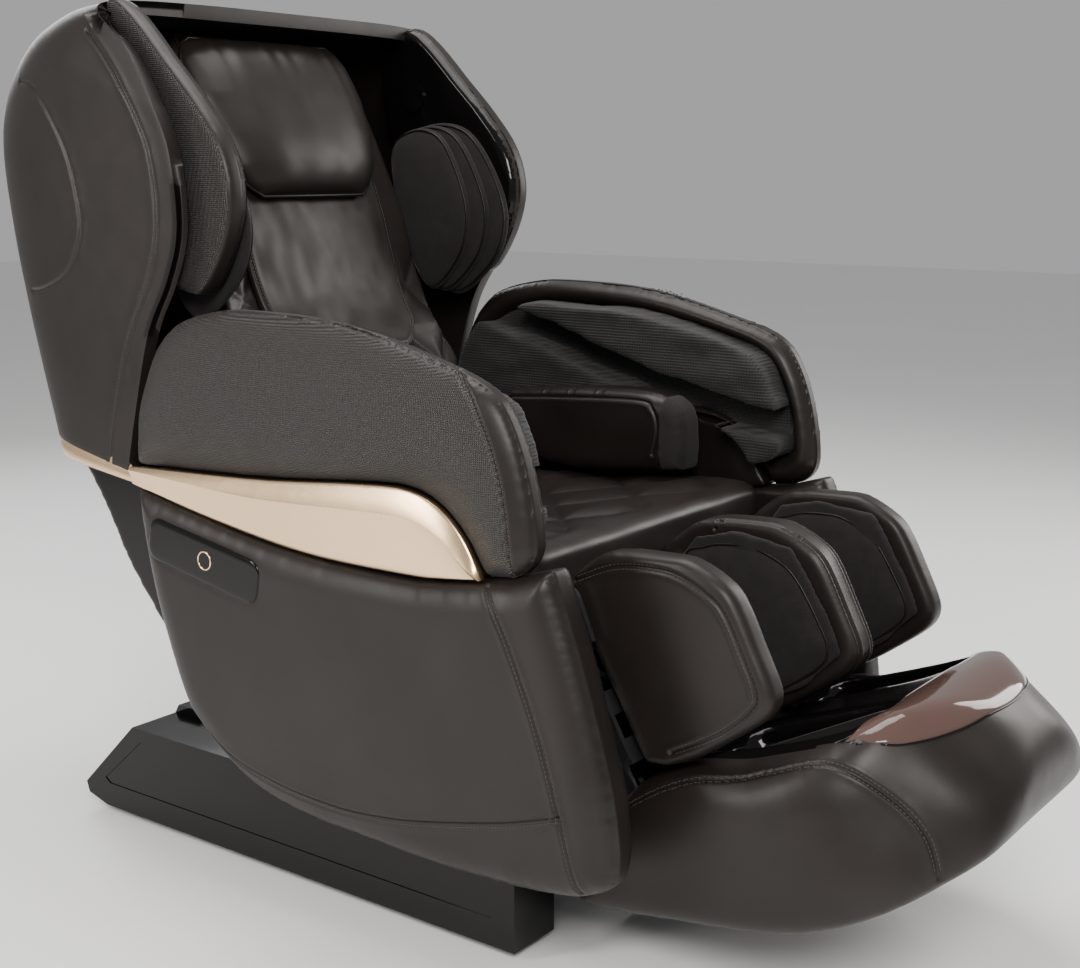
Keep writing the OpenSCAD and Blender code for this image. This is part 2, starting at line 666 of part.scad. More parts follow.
up_in = pad_half - 40;
up_out = pad_half - 4;
up_back = pad_back + tube_s;
module back_frame() {
    hub_to = back_point(pad_back + 18, -42);
    color(STEEL) difference() {
        union() {
            on_back() {
                for (s = [-1, 1]) {
                    block([min(s * up_in, s * up_out), pad_back, -70], [max(s * up_in, s * up_out), up_back, 690]);
                }
                wide_block(plate_x - gap, [pad_back, -60], [up_back, -24]);
                wide_block(up_in + 1, [pad_back, 654], [up_back, 690]);
                for (p = [-60, 654]) wide_block(up_in + 1, [pad_back, p], [up_back, p + tube_s]);
            }
            for (s = [RIGHT, LEFT])
                link_side(s, recline_axis, hub_to, hub_r, 24, plate_x - gap - plate_t, plate_x - gap);
            bar(recline_axis, hub_r, -plate_x + gap, plate_x - gap);
            // lever of the recline actuator
            for (x = [recline_x - 19, recline_x + 11]) link(recline_axis, recline_pin, hub_r - 2, 12, x, x + 8);
            bar(recline_pin, end_pin_r, recline_x - 20, recline_x + 20);
        }
        bar(recline_axis, pin_r + pin_gap, -far, -plate_x + plate_t + gap + 12);
        bar(recline_axis, pin_r + pin_gap, plate_x - plate_t - gap - 12, far);
        // screw holes for the guide rails
        for (s = [-1, 1], p = [-42, 672]) on_back()
            translate([s * 158, 0, p]) rotate([-90, 0, 0]) cylinder(r = 3, h = 200);
    }
}
module link_side(side, a, b, ra, rb, from, to) {
    if (side == RIGHT) link(a, b, ra, rb, -to, -from);
    else link(a, b, ra, rb, from, to);
}

// channel rails in which the carriage's wheels run
rail_x = 150;
module guide_rails() {
    color(STEEL) on_back() for (s = [RIGHT, LEFT]) difference() {
        block([min(s * rail_x, s * (rail_x + 18)), up_back, -64],
            [max(s * rail_x, s * (rail_x + 18)), up_back + 32, 694]);
        block([min(s * (rail_x - 1), s * (rail_x + 14)), up_back + 5, 60],
            [max(s * (rail_x - 1), s * (rail_x + 14)), up_back + 27, 648]);
    }
}

carriage_rest = 150;
shaft_q = up_back + 16;
module carriage() {
    c = carriage_rest;
    color(RUBBER) on_back() difference() {
        union() {
            // body with its two motors
            block([-112, up_back + 14, c - 56], [112, up_back + 58, c - 20]);
            block([-112, up_back + 34, c - 56], [112, up_back + 58, c + 56]);
            for (s = [-1, 1]) translate([s * 60, up_back + 76, c - 50]) cylinder(r = 26, h = 96);
            for (s = [-1, 1]) block([s * 104 - 8, up_back - 6, c - 56], [s * 104 + 8, up_back + 58, c + 30]);
            // wheels in the channel rails
            for (s = [-1, 1], dz = [-40, 44]) {
                bar([shaft_q, c + dz], 10, s * (rail_x + 6) - 6, s * (rail_x + 6) + 6);
                bar([shaft_q, c + dz], 5, min(s * 100, s * (rail_x + 8)), max(s * 100, s * (rail_x + 8)));
            }
            for (s = [-1, 1]) block([s * 104 - 8, up_back + 8, c + 20], [s * 104 + 8, up_back + 58, c + 56]);
            // shaft of the kneading arms
            bar([arm_q, c], 8, -100, 100);
        }
    }
}
arm_q = up_back;
roller_r = 28;
roller_q = 24;
module knead_arm(side) {
    c = carriage_rest;
    color(STEEL) on_back() difference() {
        union() {
            side_bar(side, [arm_q, c], 16, 44, 66);
            link_side(side, [arm_q, c], [roller_q, c + 48], 14, 10, 50, 60);
            link_side(side, [arm_q, c], [roller_q, c - 48], 14, 10, 50, 60);
            for (d = [-48, 48]) side_bar(side, [roller_q, c + d], 7, 34, 76);
        }
        side_bar(side, [arm_q, c], 8 + pin_gap, 0, 200);
    }
}
module massage_roller(side, d) {
    c = carriage_rest + d;
    color(RUBBER) on_back() difference() {
        union() {
            side_bar(side, [roller_q, c], roller_r - 4, 62, 94);
            side_bar(side, [roller_q, c], roller_r, 66, 90);
        }
        side_bar(side, [roller_q, c], 7 + pin_gap, 0, 200);
    }
}

// hood: side view, plan and front view cut to one shape
hood_lean = 14;
hood_top = belt_z + hood_h;
function hz(z) = belt_z + (z - 620) * hood_h / 668; // heights on the hood follow its size
hood_front_edge = curve([[668, hz(616)], [646, hz(700)], [612, hz(812)], [566, hz(890)], [540, hz(963)],
    [547, hz(1060)], [572, hz(1122)], [612, hz(1180)], [650, hz(1232)]]);
hood_rear_edge = curve([[940, hz(660)], [990, hz(857)], [1030, hz(1000)], [1042, hz(1090)], [1020, hz(1180)],
    [950, hz(1250)], [860, hz(1284)], [781, hz(1296)], [716, hz(1291)], [672, hz(1266)]]);
hood_belt = curve([[940, hz(660)], [880, hz(664)], [828, hz(660)], [740, hz(638)], [668, hz(616)]]);
hood_outline = concat(hood_rear_edge, tail(head(backwards(hood_front_edge))), head(backwards(hood_belt)));
hood_belt_low = curve([[660, belt_z - 28], [740, belt_z - 12], [795, belt_z + 5], [850, belt_z + 4],
    [900, belt_z - 4], [930, belt_z - 6]]);
function hood_plan(w, rear) = concat(
    [[w, -700], [w, rear - 150]],
    curve([[w, rear - 112], [w - 12, rear - 74], [w - 32, rear - 44], [w - 62, rear - 24], [w - 120, rear - 10],
        [w - 240, rear - 2], [0, rear], [240 - w, rear - 2], [120 - w, rear - 10], [62 - w, rear - 24],
        [32 - w, rear - 44], [12 - w, rear - 74], [-w, rear - 112]], 2),
    [[-w, rear - 150], [-w, -700]]);
// A shape in plan made solid along the hood's own lean.
module leaning(points) {
    translate([0, 908, 620]) rotate([-hood_lean, 0, 0]) translate([0, 0, -600])
        linear_extrude(1700) polygon(points);
}
// The same along the slope of the hood's rear top corner.
module sloping(points) {
    translate([0, 975, hz(1220)]) rotate([51.5, 0, 0]) translate([0, 0, -far / 2])
        linear_extrude(far) polygon(points);
}
function slope_plan(w, d) = concat([[w, -900], [w, -70 - d]],
    curve([[w, -60 - d], [w - 12, -42 - d], [w - 32, -26 - d], [w - 62, -14 - d], [w - 120, -4 - d],
        [w - 240, 4 - d], [0, 6 - d], [240 - w, 4 - d], [120 - w, -4 - d], [62 - w, -14 - d], [32 - w, -26 - d],
        [12 - w, -42 - d], [-w, -60 - d]], 2), [[-w, -70 - d], [-w, -900]]);
module front_view(points) {
    rotate([90, 0, 0]) translate([0, 0, -far]) linear_extrude(2 * far) polygon(points);
}
function hood_crown(w, top) = concat([[-w, 100], [w, 100], [w, top - 110]],
    curve([[w, top - 90], [w - 8, top - 50], [w - 34, top - 18], [w - 90, top - 5], [0, top], [90 - w, top - 5],
        [34 - w, top - 18], [8 - w, top - 50], [-w, top - 90]], 2));
module hood_solid(outline, d) {
    intersection() {
        slab(outline, -hood_half + d, hood_half - d);
        leaning(hood_plan(hood_half - d, 30 - d));
        sloping(slope_plan(hood_half - d, d));
        front_view(hood_crown(hood_half - d, hood_top - d));
    }
}
cavity_outline = concat([[300, 300], [900, 300]], [for (p = inset(hood_rear_edge, hood_t)) if (p[0] > 700) p],
    [[300, hood_top - 150]]);
module hood_cavity() {
    rear = curve([[905, 560], [968, hz(857)], [1008, hz(1000)], [1018, hz(1088)], [996, hz(1168)],
        [934, hz(1232)], [856, hz(1262)], [776, hz(1273)], [684, hz(1263)], [560, hz(1262)]]);
    hood_solid(concat([[400, 500]], rear, [[400, hz(1262)]]), hood_t);
}
// The rim's upper corners stand back, behind the tops of the wings.
module rim_corner(side, from) {
    side_slab(side, [[500, hz(1100)], [558, hz(1100)], [606, hz(1172)], [672, hz(1228)], [736, hz(1262)],
        [744, hz(1320)], [500, hz(1320)]], from, far);
}
module hood_shell() {
    difference() {
        hood_solid(hood_outline, 0);
        hood_cavity();
        for (s = [RIGHT, LEFT]) rim_corner(s, wing_in - 8);
    }
}
module hood() {
    color(LEATHER) difference() {
        union() {
            hood_shell();
            // ribs to the back frame
            intersection() {
                hood_solid(hood_outline, 1);
                on_back() for (p = [260, 560], s = [-1, 1])
                    block([s * 206 - 14, up_back, p], [s * 206 + 14, 600, p + 16]);
            }
        }
    }
}
module hood_trim() {
    outline = concat(hood_belt_low, hood_belt);
    color(GOLD) difference() {
        hood_solid(outline, 0);
        hood_cavity();
        slab([[0, 0], [658, 0], [658, far], [0, far]], -far, far);
    }
}

// lower cover of the backrest, from the belt down between the side panels
cover_rear = curve([[872, belt_z - 8], [840, 572], [800, 514], [762, 450], [720, 396], [673, 345], [624, 298],
    [573, 257]]);
cover_front = curve([[573, 257], [545, 280], [562, 380], [610, 470], [664, 545], [690, belt_z - 26]]);
cover_outline = concat(backwards(cover_rear), [[760, belt_z - 20], [690, belt_z - 26]],
    tail(head(backwards(cover_front))));
module rear_cover() {
    w = cover_half;
    color(GLOSS) {
        difference() {
            slab(cover_outline, -w, w);
            slab(concat([[540, 240]], backwards([for (p = cover_rear) p + [-16, 12]]),
                [[860, belt_z + 20], [500, belt_z + 20]]), -w + 16, w - 16);
        }
        intersection() {
            slab(cover_outline, -w + 1, w - 1);
            on_back() for (s = [-1, 1]) block([s * 206 - 14, up_back, -56], [s * 206 + 14, 500, -36]);
        }
    }
}

wing_outline = curve([[744, hz(1262)], [724, hz(1284)], [697, hz(1286)], [655, hz(1256)], [600, hz(1202)],
    [538, hz(1141)], [488, hz(1078)], [470, hz(1012)], [486, hz(945)], [528, hz(880)], [566, hz(870)],
    [640, hz(900)], [720, hz(1000)], [765, hz(1120)], [778, hz(1215)]]);
module wing(side) {
    color(GLOSS) difference() {
        union() {
            soft_slab(side, wing_outline, wing_in, wing_out, 10);
            side_bar(side, [660, hz(1100)], 60, wing_out - 2, hood_half - hood_t);
        }
        hood_shell();
    }
}
// Shoulder cushions: three leaves one over the other, each reaching less far forward.
leaf = curve([[715, hz(1076)], [656, hz(1119)], [566, hz(1109)], [501, hz(1027)], [482, hz(951)], [516, hz(880)],
    [603, hz(832)], [683, hz(938)]]);
function smaller_leaf(k) = [for (p = head(leaf))
    [715 - (715 - p[0]) * (1 - 0.13 * k), hz(975) + (p[1] - hz(975)) * (1 - 0.03 * k)]];
leaf_t = 14;
module shoulder_airbags(side) {
    color(FABRIC) for (k = [0:2])
        soft_slab(side, smaller_leaf(k), wing_in - leaf_t * (k + 1) + 0.5 - k * 0.5, wing_in - leaf_t * k, 5);
}
module speakers() {
    color(GLOSS) for (s = [RIGHT, LEFT]) {
        difference() {
            side_bar(s, [692, hz(1168)], 24, wing_in - 4, wing_in);
            for (a = [0:60:300], r = [7, 14])
                side_bar(s, [692 + r * cos(a), hz(1168) + r * sin(a)], 1.6, wing_in - 5, wing_in - 2);
        }
    }
}

// ======== leg rest ========
shin = 250;
calf_outline = curve([[10, -228], [10, 6], [4, 24], [-30, 33], [-77, 34], [-151, -2], [-181, -22], [-208, -60],
    [-217, -90], [-215, -149], [-211, -203], [-196, -226], [-160, -237], [-76, -245], [-20, -242]], 3);
module calf_shell() {
    color(LEATHER) on_leg() difference() {
        union() {
            soft_slab(RIGHT, backwards(calf_outline), calf_half - calf_wall, calf_half, 12);
            soft_slab(LEFT, backwards(calf_outline), calf_half - calf_wall, calf_half, 12);
            soft_wide(backwards(calf_outline), calf_mid / 2, 12);
            wide_block(calf_half - 12, [-18, -226], [10, 4]);
        }
        // flat back against the leg frame
        block([-far, 10, -far], [far, far, far]);
    }
}
lining_t = 10;
module calf_lining() {
    trough = [[-18, -224], [-18, 0], [-60, 20], [-120, 2], [-190, -50], [-196, -150], [-190, -205], [-120, -226]];
    color(FABRIC) on_leg() for (s = [RIGHT, LEFT]) difference() {
        side_slab(s, trough, calf_mid / 2, calf_half - calf_wall);
        side_slab(s, [[-18 - lining_t, -far], [-18 - lining_t, far], [-far, far], [-far, -far]],
            calf_mid / 2 + lining_t, calf_half - calf_wall - lining_t);
    }
}
sleeve_x = 150;
sleeve_q = 29.5;
module leg_frame() {
    bar_low = -156;
    color(STEEL) on_leg() difference() {
        union() {
            for (s = [RIGHT, LEFT]) {
                link_side(s, [0, 0], [22, -200], hub_r, 16, plate_x - gap - plate_t, plate_x - gap);
            }
            wide_block(plate_x - gap - 2, [10, bar_low], [42, bar_low + 32]);
            wide_block(plate_x - gap - 2, [10, -221], [42, -190]);
            for (s = [-1, 1]) translate([s * sleeve_x, sleeve_q, -222]) cylinder(r = 18, h = 150);
            for (x = [leg_x - 19, leg_x + 11])
                link([leg_lever * sin(24), -leg_lever * cos(24)], [26, bar_low + 16], 12, 14, x, x + 8);
            bar([leg_lever * sin(24), -leg_lever * cos(24)], end_pin_r, leg_x - 20, leg_x + 20);
        }
        bar([0, 0], pin_r + pin_gap, -far, far);
        for (s = [-1, 1]) translate([s * sleeve_x, sleeve_q, -300]) cylinder(r = 11 + pin_gap, h = 300);
        block([-far, -far, -far], [far, 10, -60]);
    }
}
foot_outline = curve([[228, -361], [150, -302], [78, -258], [10, -246], [-76, -255], [-150, -266], [-220, -276],
    [-285, -283], [-322, -294], [-350, -320], [-359, -362], [-339, -420], [-296, -478], [-240, -496],
    [-91, -493], [60, -440], [190, -388], [228, -361]], 3);
foot_side = [[-foot_half, 300], [foot_half, 300], [foot_half, -60]];
module foot_plan() {
    w = foot_half;
    points = concat([[-w, 300], [w, 300]],
        curve([[w, -80], [w - 4, -160], [w - 22, -222], [w - 66, -280], [w - 140, -330], [0, -366], [140 - w, -330],
            [66 - w, -280], [22 - w, -222], [4 - w, -160], [-w, -80]], 2));
    translate([0, 0, -600]) linear_extrude(700) polygon(points);
}
well_x = 128;
sole = -440;
module well(x, w, front, back, low) {
    translate([x, 0, low]) linear_extrude(far) translate([0, (front + back) / 2, 0])
        rounded_plate([w, back - front], 40);
}
roller_at = [-150, -462];
module foot_shell() {
    color(LEATHER) on_leg() difference() {
        intersection() {
            soft_wide(head(foot_outline), foot_half, 16);
            foot_plan();
        }
        for (s = [-1, 1]) well(s * well_x, well_w, -262, -32, sole);
        // room and bearings for the sole rollers
        for (s = [-1, 1])
            block([s * well_x - 46, roller_at[0] - 26, roller_at[1] - 22],
                [s * well_x + 46, roller_at[0] + 26, sole + 1]);
        bar(roller_at, 5 + pin_gap, -well_x - 66, well_x + 66);
        // sockets of the slide tubes
        for (s = [-1, 1]) translate([s * sleeve_x, sleeve_q, -330]) cylinder(r = 11, h = 300);
        // seat of the visor
        visor_solid(0);
    }
}
module visor_solid(d) {
    intersection() {
        foot_plan();
        slab([[-276, far], [-276, -300], [-300, -330], [-330, -340], [-far, -340], [-far, far]],
            -190 + d, 190 - d);
        soft_wide(head(foot_outline), foot_half, 16);
    }
}
module foot_visor() {
    color(GLOSS) on_leg() visor_solid(0);
}
module foot_liner() {
    color(FABRIC) on_leg() for (s = [-1, 1]) difference() {
        intersection() {
            well(s * well_x, well_w, -262, -32, sole);
            slab([[200, sole - 1], [200, -268], [-300, -290], [-300, sole - 1]], -far, far);
        }
        well(s * well_x, well_w - 12, -256, -38, sole + 6);
        block([s * well_x - 46, roller_at[0] - 26, sole - 1], [s * well_x + 46, roller_at[0] + 26, sole + 7]);
    }
}
module slide_tubes() {
    color(STEEL) on_leg() for (s = [-1, 1]) translate([s * sleeve_x, sleeve_q, -330]) cylinder(r = 11, h = 230);
}
module sole_rollers() {
    color(RUBBER) on_leg() {
        bar(roller_at, 5, -well_x - 62, well_x + 62);
        for (s = [-1, 1], k = [-1, 0, 1])
            bar(roller_at, k == 0 ? 20 : 16, s * well_x + k * 26 - 11, s * well_x + k * 26 + 11);
    }
}

placed() base_frame();
placed() base_cover(RIGHT);  // base_cover_right
placed() base_cover(LEFT);  // base_cover_left
placed() base_rear_cover();
placed() floor_pads();
placed() transport_wheels();
placed() power_inlet();
placed() power_switch();
placed() control_box();
placed() tilt_actuator_tube();
placed() tilt_actuator_rod();
placed() seat_frame();
placed() pivot_pins();
placed() side_panel(RIGHT);  // side_panel_right
placed() side_panel(LEFT);  // side_panel_left
placed() side_trim(RIGHT);  // side_trim_right
placed() side_trim(LEFT);  // side_trim_left
placed() side_plates();
placed() armrest(RIGHT);  // armrest_right
placed() armrest(LEFT);  // armrest_left
placed() arm_lining(RIGHT);  // arm_lining_right
placed() arm_lining(LEFT);  // arm_lining_left
placed() hip_pad(RIGHT);  // hip_pad_right
placed() hip_pad(LEFT);  // hip_pad_left
placed() seat_cushion();
placed() seat_pan();
placed() knee_flap();
placed() rear_cover();
placed() air_pump();
placed() recline_actuator_tube();
placed() recline_actuator_rod();
placed() leg_actuator_tube();
placed() leg_actuator_rod();
placed() back_frame();
placed() guide_rails();
placed() hood();
placed() hood_trim();
placed() wing(RIGHT);  // wing_right
placed() wing(LEFT);  // wing_left
placed() shoulder_airbags(RIGHT);  // shoulder_airbags_right
placed() shoulder_airbags(LEFT);  // shoulder_airbags_left
placed() back_pad();
placed() back_flap();
placed() head_pillow();
placed() speakers();
placed() carriage();
placed() knead_arm(RIGHT);  // knead_arm_right
placed() knead_arm(LEFT);  // knead_arm_left
placed() massage_roller(RIGHT, 48);  // upper_roller_right
placed() massage_roller(LEFT, 48);  // upper_roller_left
placed() massage_roller(RIGHT, -48);  // lower_roller_right
placed() massage_roller(LEFT, -48);  // lower_roller_left
placed() leg_frame();
placed() calf_shell();
placed() calf_lining();
placed() foot_shell();
placed() foot_liner();
placed() foot_visor();
placed() slide_tubes();
placed() sole_rollers();
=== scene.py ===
"""Looks of the reclining massage chair: leather shells, pads, fabric linings, trim, light and camera."""

import math
from contextlib import contextmanager

import bmesh
import bpy
import numpy as np
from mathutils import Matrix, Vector, kdtree, noise
from mathutils.bvhtree import BVHTree


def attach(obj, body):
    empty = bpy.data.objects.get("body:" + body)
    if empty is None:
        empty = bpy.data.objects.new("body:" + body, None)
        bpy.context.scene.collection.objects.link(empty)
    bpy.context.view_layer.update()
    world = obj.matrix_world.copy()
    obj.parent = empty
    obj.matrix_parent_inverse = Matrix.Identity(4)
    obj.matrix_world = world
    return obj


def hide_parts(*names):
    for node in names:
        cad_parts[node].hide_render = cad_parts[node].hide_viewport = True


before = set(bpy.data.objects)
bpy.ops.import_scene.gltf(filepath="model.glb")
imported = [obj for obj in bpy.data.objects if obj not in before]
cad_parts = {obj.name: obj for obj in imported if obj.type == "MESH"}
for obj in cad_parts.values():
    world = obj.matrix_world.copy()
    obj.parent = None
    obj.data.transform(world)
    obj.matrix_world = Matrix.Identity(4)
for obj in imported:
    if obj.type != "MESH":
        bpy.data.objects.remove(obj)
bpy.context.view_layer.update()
MM = 0.001

# ------------------------------------------------------------------ camera, light and floor
scene = bpy.context.scene
CAM_AT = Vector((-1.864, -1.438, 1.050))
CAM_YAW, CAM_PITCH = math.radians(36.688), math.radians(11.368)
LENS_MM, SENSOR_MM = 52.7, 36.0

camera_data = bpy.data.cameras.new("camera")
camera = bpy.data.objects.new("camera", camera_data)
scene.collection.objects.link(camera)
scene.camera = camera
camera_data.lens, camera_data.sensor_width = LENS_MM, SENSOR_MM
look = Vector((
    math.cos(CAM_YAW) * math.cos(CAM_PITCH),
    math.sin(CAM_YAW) * math.cos(CAM_PITCH),
    -math.sin(CAM_PITCH),
))
camera.location = CAM_AT
camera.rotation_euler = look.to_track_quat("-Z", "Y").to_euler()


def area_light(name, at, aim, size, watts, colour=(1, 1, 1)):
    """A rectangular lamp at one point, turned towards another."""
    data = bpy.data.lights.new(name, "AREA")
    data.shape, data.size, data.size_y = "RECTANGLE", size[0], size[1]
    data.energy, data.color = watts, colour
    lamp = bpy.data.objects.new(name, data)
    scene.collection.objects.link(lamp)
    lamp.location = at
    lamp.rotation_euler = (Vector(aim) - Vector(at)).to_track_quat("-Z", "Y").to_euler()


area_light("key", (-2.6, -2.2, 2.6), (0, 0, 0.5), (1.3, 1.3), 130, (1, 0.97, 0.93))
area_light("side", (-3.0, 1.6, 1.7), (0, 0, 0.6), (0.8, 2.0), 70, (1, 0.96, 0.91))
area_light("top", (0.2, 0.3, 3.3), (0, 0, 0.4), (2.0, 2.0), 80, (1, 0.98, 0.96))
area_light("right", (2.8, -1.4, 1.8), (0, 0, 0.5), (1.2, 2.0), 60, (1, 0.96, 0.92))
area_light("rear", (1.2, 3.0, 2.2), (0, 0.2, 0.7), (2.0, 1.4), 45)

world = bpy.data.worlds.new("studio")
scene.world = world
world.use_nodes = True
SKY_STRENGTH = 0.42
background = world.node_tree.nodes["Background"]
background.inputs["Color"].default_value = (1, 1, 1, 1)
background.inputs["Strength"].default_value = SKY_STRENGTH

FLOOR = 14.0  # half the floor's width, in metres
floor_mesh = bpy.data.meshes.new("floor")
floor_corners = [(x * FLOOR, y * FLOOR, 0) for x, y in ((-1, -1), (1, -1), (1, 1), (-1, 1))]
floor_mesh.from_pydata(floor_corners, [], [(0, 1, 2, 3)])
floor = bpy.data.objects.new("floor", floor_mesh)
scene.collection.objects.link(floor)


# ------------------------------------------------------------------ materials
class Shader:
    """A Principled material with small helpers for procedural detail."""

    def __init__(self, name, colour, rough=0.5, metal=0.0, **sockets):
        self.mat = bpy.data.materials.new(name)
        self.mat.use_nodes = True
        self.tree = self.mat.node_tree
        self.bsdf = self.tree.nodes["Principled BSDF"]
        self.set("Base Color", (*colour, 1))
        self.set("Roughness", rough)
        self.set("Metallic", metal)
        for k, v in sockets.items():
            self.set(k.replace("_", " "), v)
        self.normal = None
        self.place = self.node("ShaderNodeTexCoord").outputs["Object"]

    def set(self, socket, value):
        self.bsdf.inputs[socket].default_value = value

    def node(self, kind, **values):
        n = self.tree.nodes.new(kind)
        for k, v in values.items():
            if hasattr(n, k):
                setattr(n, k, v)
            else:
                n.inputs[k.replace("_", " ")].default_value = v
        return n

    def link(self, a, b):
        self.tree.links.new(a, b)

    def maths(self, op, a, b=None, c=None):
        n = self.node("ShaderNodeMath", operation=op)
        for i, v in enumerate((a, b, c)):
            if v is None:
                continue
            if isinstance(v, bpy.types.NodeSocket):
                self.link(v, n.inputs[i])
            else:
                n.inputs[i].default_value = v
        return n.outputs[0]

    def noise(self, scale, detail, rough=0.5):
        n = self.node("ShaderNodeTexNoise", Scale=scale, Detail=detail, Roughness=rough)
        self.link(self.place, n.inputs["Vector"])
        return n.outputs["Fac"]

    def pores(self, scale):
        n = self.node("ShaderNodeTexVoronoi", feature="SMOOTH_F1", Scale=scale)
        self.link(self.place, n.inputs["Vector"])
        return n.outputs["Distance"]

    def bump(self, height, strength, distance):
        n = self.node("ShaderNodeBump", Strength=strength, Distance=distance)
        self.link(height, n.inputs["Height"])
        if self.normal is not None:
            self.link(self.normal, n.inputs["Normal"])
        self.normal = n.outputs["Normal"]
        self.link(self.normal, self.bsdf.inputs["Normal"])

    def tint(self, value, stops):
        """Colours the surface by a ramp of (position, colour) stops."""
        n = self.node("ShaderNodeValToRGB")
        elements = n.color_ramp.elements
        while len(elements) < len(stops):
            elements.new(0.5)
        for item, (position, colour) in zip(elements, stops):
            item.position, item.color = position, (*colour, 1)
        self.link(value, n.inputs["Fac"])
        self.link(n.outputs["Color"], self.bsdf.inputs["Base Color"])

    def vary_rough(self, value, low, high):
        n = self.node("ShaderNodeMapRange")
        n.inputs["To Min"].default_value, n.inputs["To Max"].default_value = low, high
        self.link(value, n.inputs["Value"])
        self.link(n.outputs["Result"], self.bsdf.inputs["Roughness"])

    def axes(self):
        n = self.node("ShaderNodeSeparateXYZ")
        self.link(self.place, n.inputs[0])
        return n.outputs


def scaled(colour, k):
    return tuple(min(1.0, c * k) for c in colour)


def leather(name, colour, rough):
    s = Shader(name, colour, rough, Specular_IOR_Level=0.3)
    s.tint(s.noise(9, 3), [(0.3, scaled(colour, 0.86)), (0.7, scaled(colour, 1.16))])
    s.vary_rough(s.noise(30, 4), rough - 0.06, rough + 0.08)
    s.bump(s.noise(16, 2), 0.25, 0.002)
    s.bump(s.pores(900), 0.22, 0.0003)
    s.bump(s.noise(420, 4, 0.6), 0.18, 0.0003)
    return s.mat


def woven_leather(name, colour):
    """Leather embossed with a fine weave of alternating lozenges, under 3 mm apart."""
    s = Shader(name, colour, 0.36, Specular_IOR_Level=0.45)
    x, y, z = s.axes()
    pitch = 1150.0
    across = s.maths("MULTIPLY", s.maths("ADD", y, x), pitch)
    up = s.maths("MULTIPLY", s.maths("SUBTRACT", z, s.maths("MULTIPLY", x, 0.5)), pitch)
    a = s.maths("SINE", s.maths("ADD", across, up))
    b = s.maths("SINE", s.maths("SUBTRACT", across, up))
    weave = s.maths("MULTIPLY", a, b)
    s.bump(weave, 0.8, 0.0012)
    s.bump(s.noise(14, 2), 0.2, 0.002)
    # The weave also sets the colour: painted highlights on the raised lozenges and painted shade in the
    # hollows between them.
    s.tint(weave, [(0.0, scaled(colour, 0.45)), (0.55, scaled(colour, 1.25)), (1.0, scaled(colour, 1.6))])
    s.vary_rough(s.noise(40, 3), 0.3, 0.42)
    return s.mat


def knit(name, colour):
    """Fine dark knitted fabric with a little nap."""
    s = Shader(name, colour, 0.92, Sheen_Weight=0.12, Sheen_Roughness=0.45)
    s.set("Sheen Tint", (0.5, 0.42, 0.44, 1))
    x, y, z = s.axes()
    pitch = 2100.0
    a = s.maths("SINE", s.maths("MULTIPLY", s.maths("ADD", x, y), pitch))
    b = s.maths("SINE", s.maths("MULTIPLY", z, pitch))
    s.bump(s.maths("MULTIPLY", a, b), 0.5, 0.0005)
    s.bump(s.noise(700, 3), 0.4, 0.0004)
    s.bump(s.noise(22, 3), 0.3, 0.003)
    s.tint(s.noise(60, 4), [(0.3, scaled(colour, 0.7)), (0.7, scaled(colour, 1.35))])
    return s.mat


def perforated(name, colour):
    """Soft fabric with slanted rows of small round holes, about 5 mm apart."""
    s = Shader(name, colour, 0.75, Sheen_Weight=0.08)
    _, y, z = s.axes()
    pitch = 0.7071 * 2 * math.pi / 0.0065
    u = s.maths("MULTIPLY", s.maths("ADD", y, z), pitch)
    v = s.maths("MULTIPLY", s.maths("SUBTRACT", y, z), pitch)
    dots = s.maths("MULTIPLY", s.maths("SINE", u), s.maths("SINE", v))
    holes = s.maths("GREATER_THAN", dots, 0.45)
    soft = s.maths("SMOOTH_MIN", dots, 0.5, 0.2)
    s.bump(soft, 0.7, -0.0012)
    s.bump(s.noise(18, 3), 0.35, 0.003)
    s.tint(holes, [(0.0, colour), (1.0, scaled(colour, 0.25))])
    return s.mat


def plastic(name, colour, rough, coat=0.0):
    s = Shader(name, colour, rough, Coat_Weight=coat, Coat_Roughness=0.05, Specular_IOR_Level=0.2)
    s.vary_rough(s.noise(24, 4), rough * 0.8, rough * 1.25 + 0.01)
    s.bump(s.noise(6, 2), 0.12, 0.002)
    return s.mat


def metal(name, colour, rough, scratch=0.1):
    s = Shader(name, colour, rough, 1.0)
    s.vary_rough(s.noise(80, 4), rough * 0.85, rough * 1.2)
    s.bump(s.noise(500, 3), scratch, 0.0002)
    s.tint(s.noise(5, 2), [(0.3, scaled(colour, 0.95)), (0.7, scaled(colour, 1.04))])
    return s.mat


def rubber(name, colour):
    s = Shader(name, colour, 0.8)
    s.bump(s.noise(600, 4), 0.4, 0.0004)
    s.vary_rough(s.noise(30, 3), 0.7, 0.9)
    return s.mat


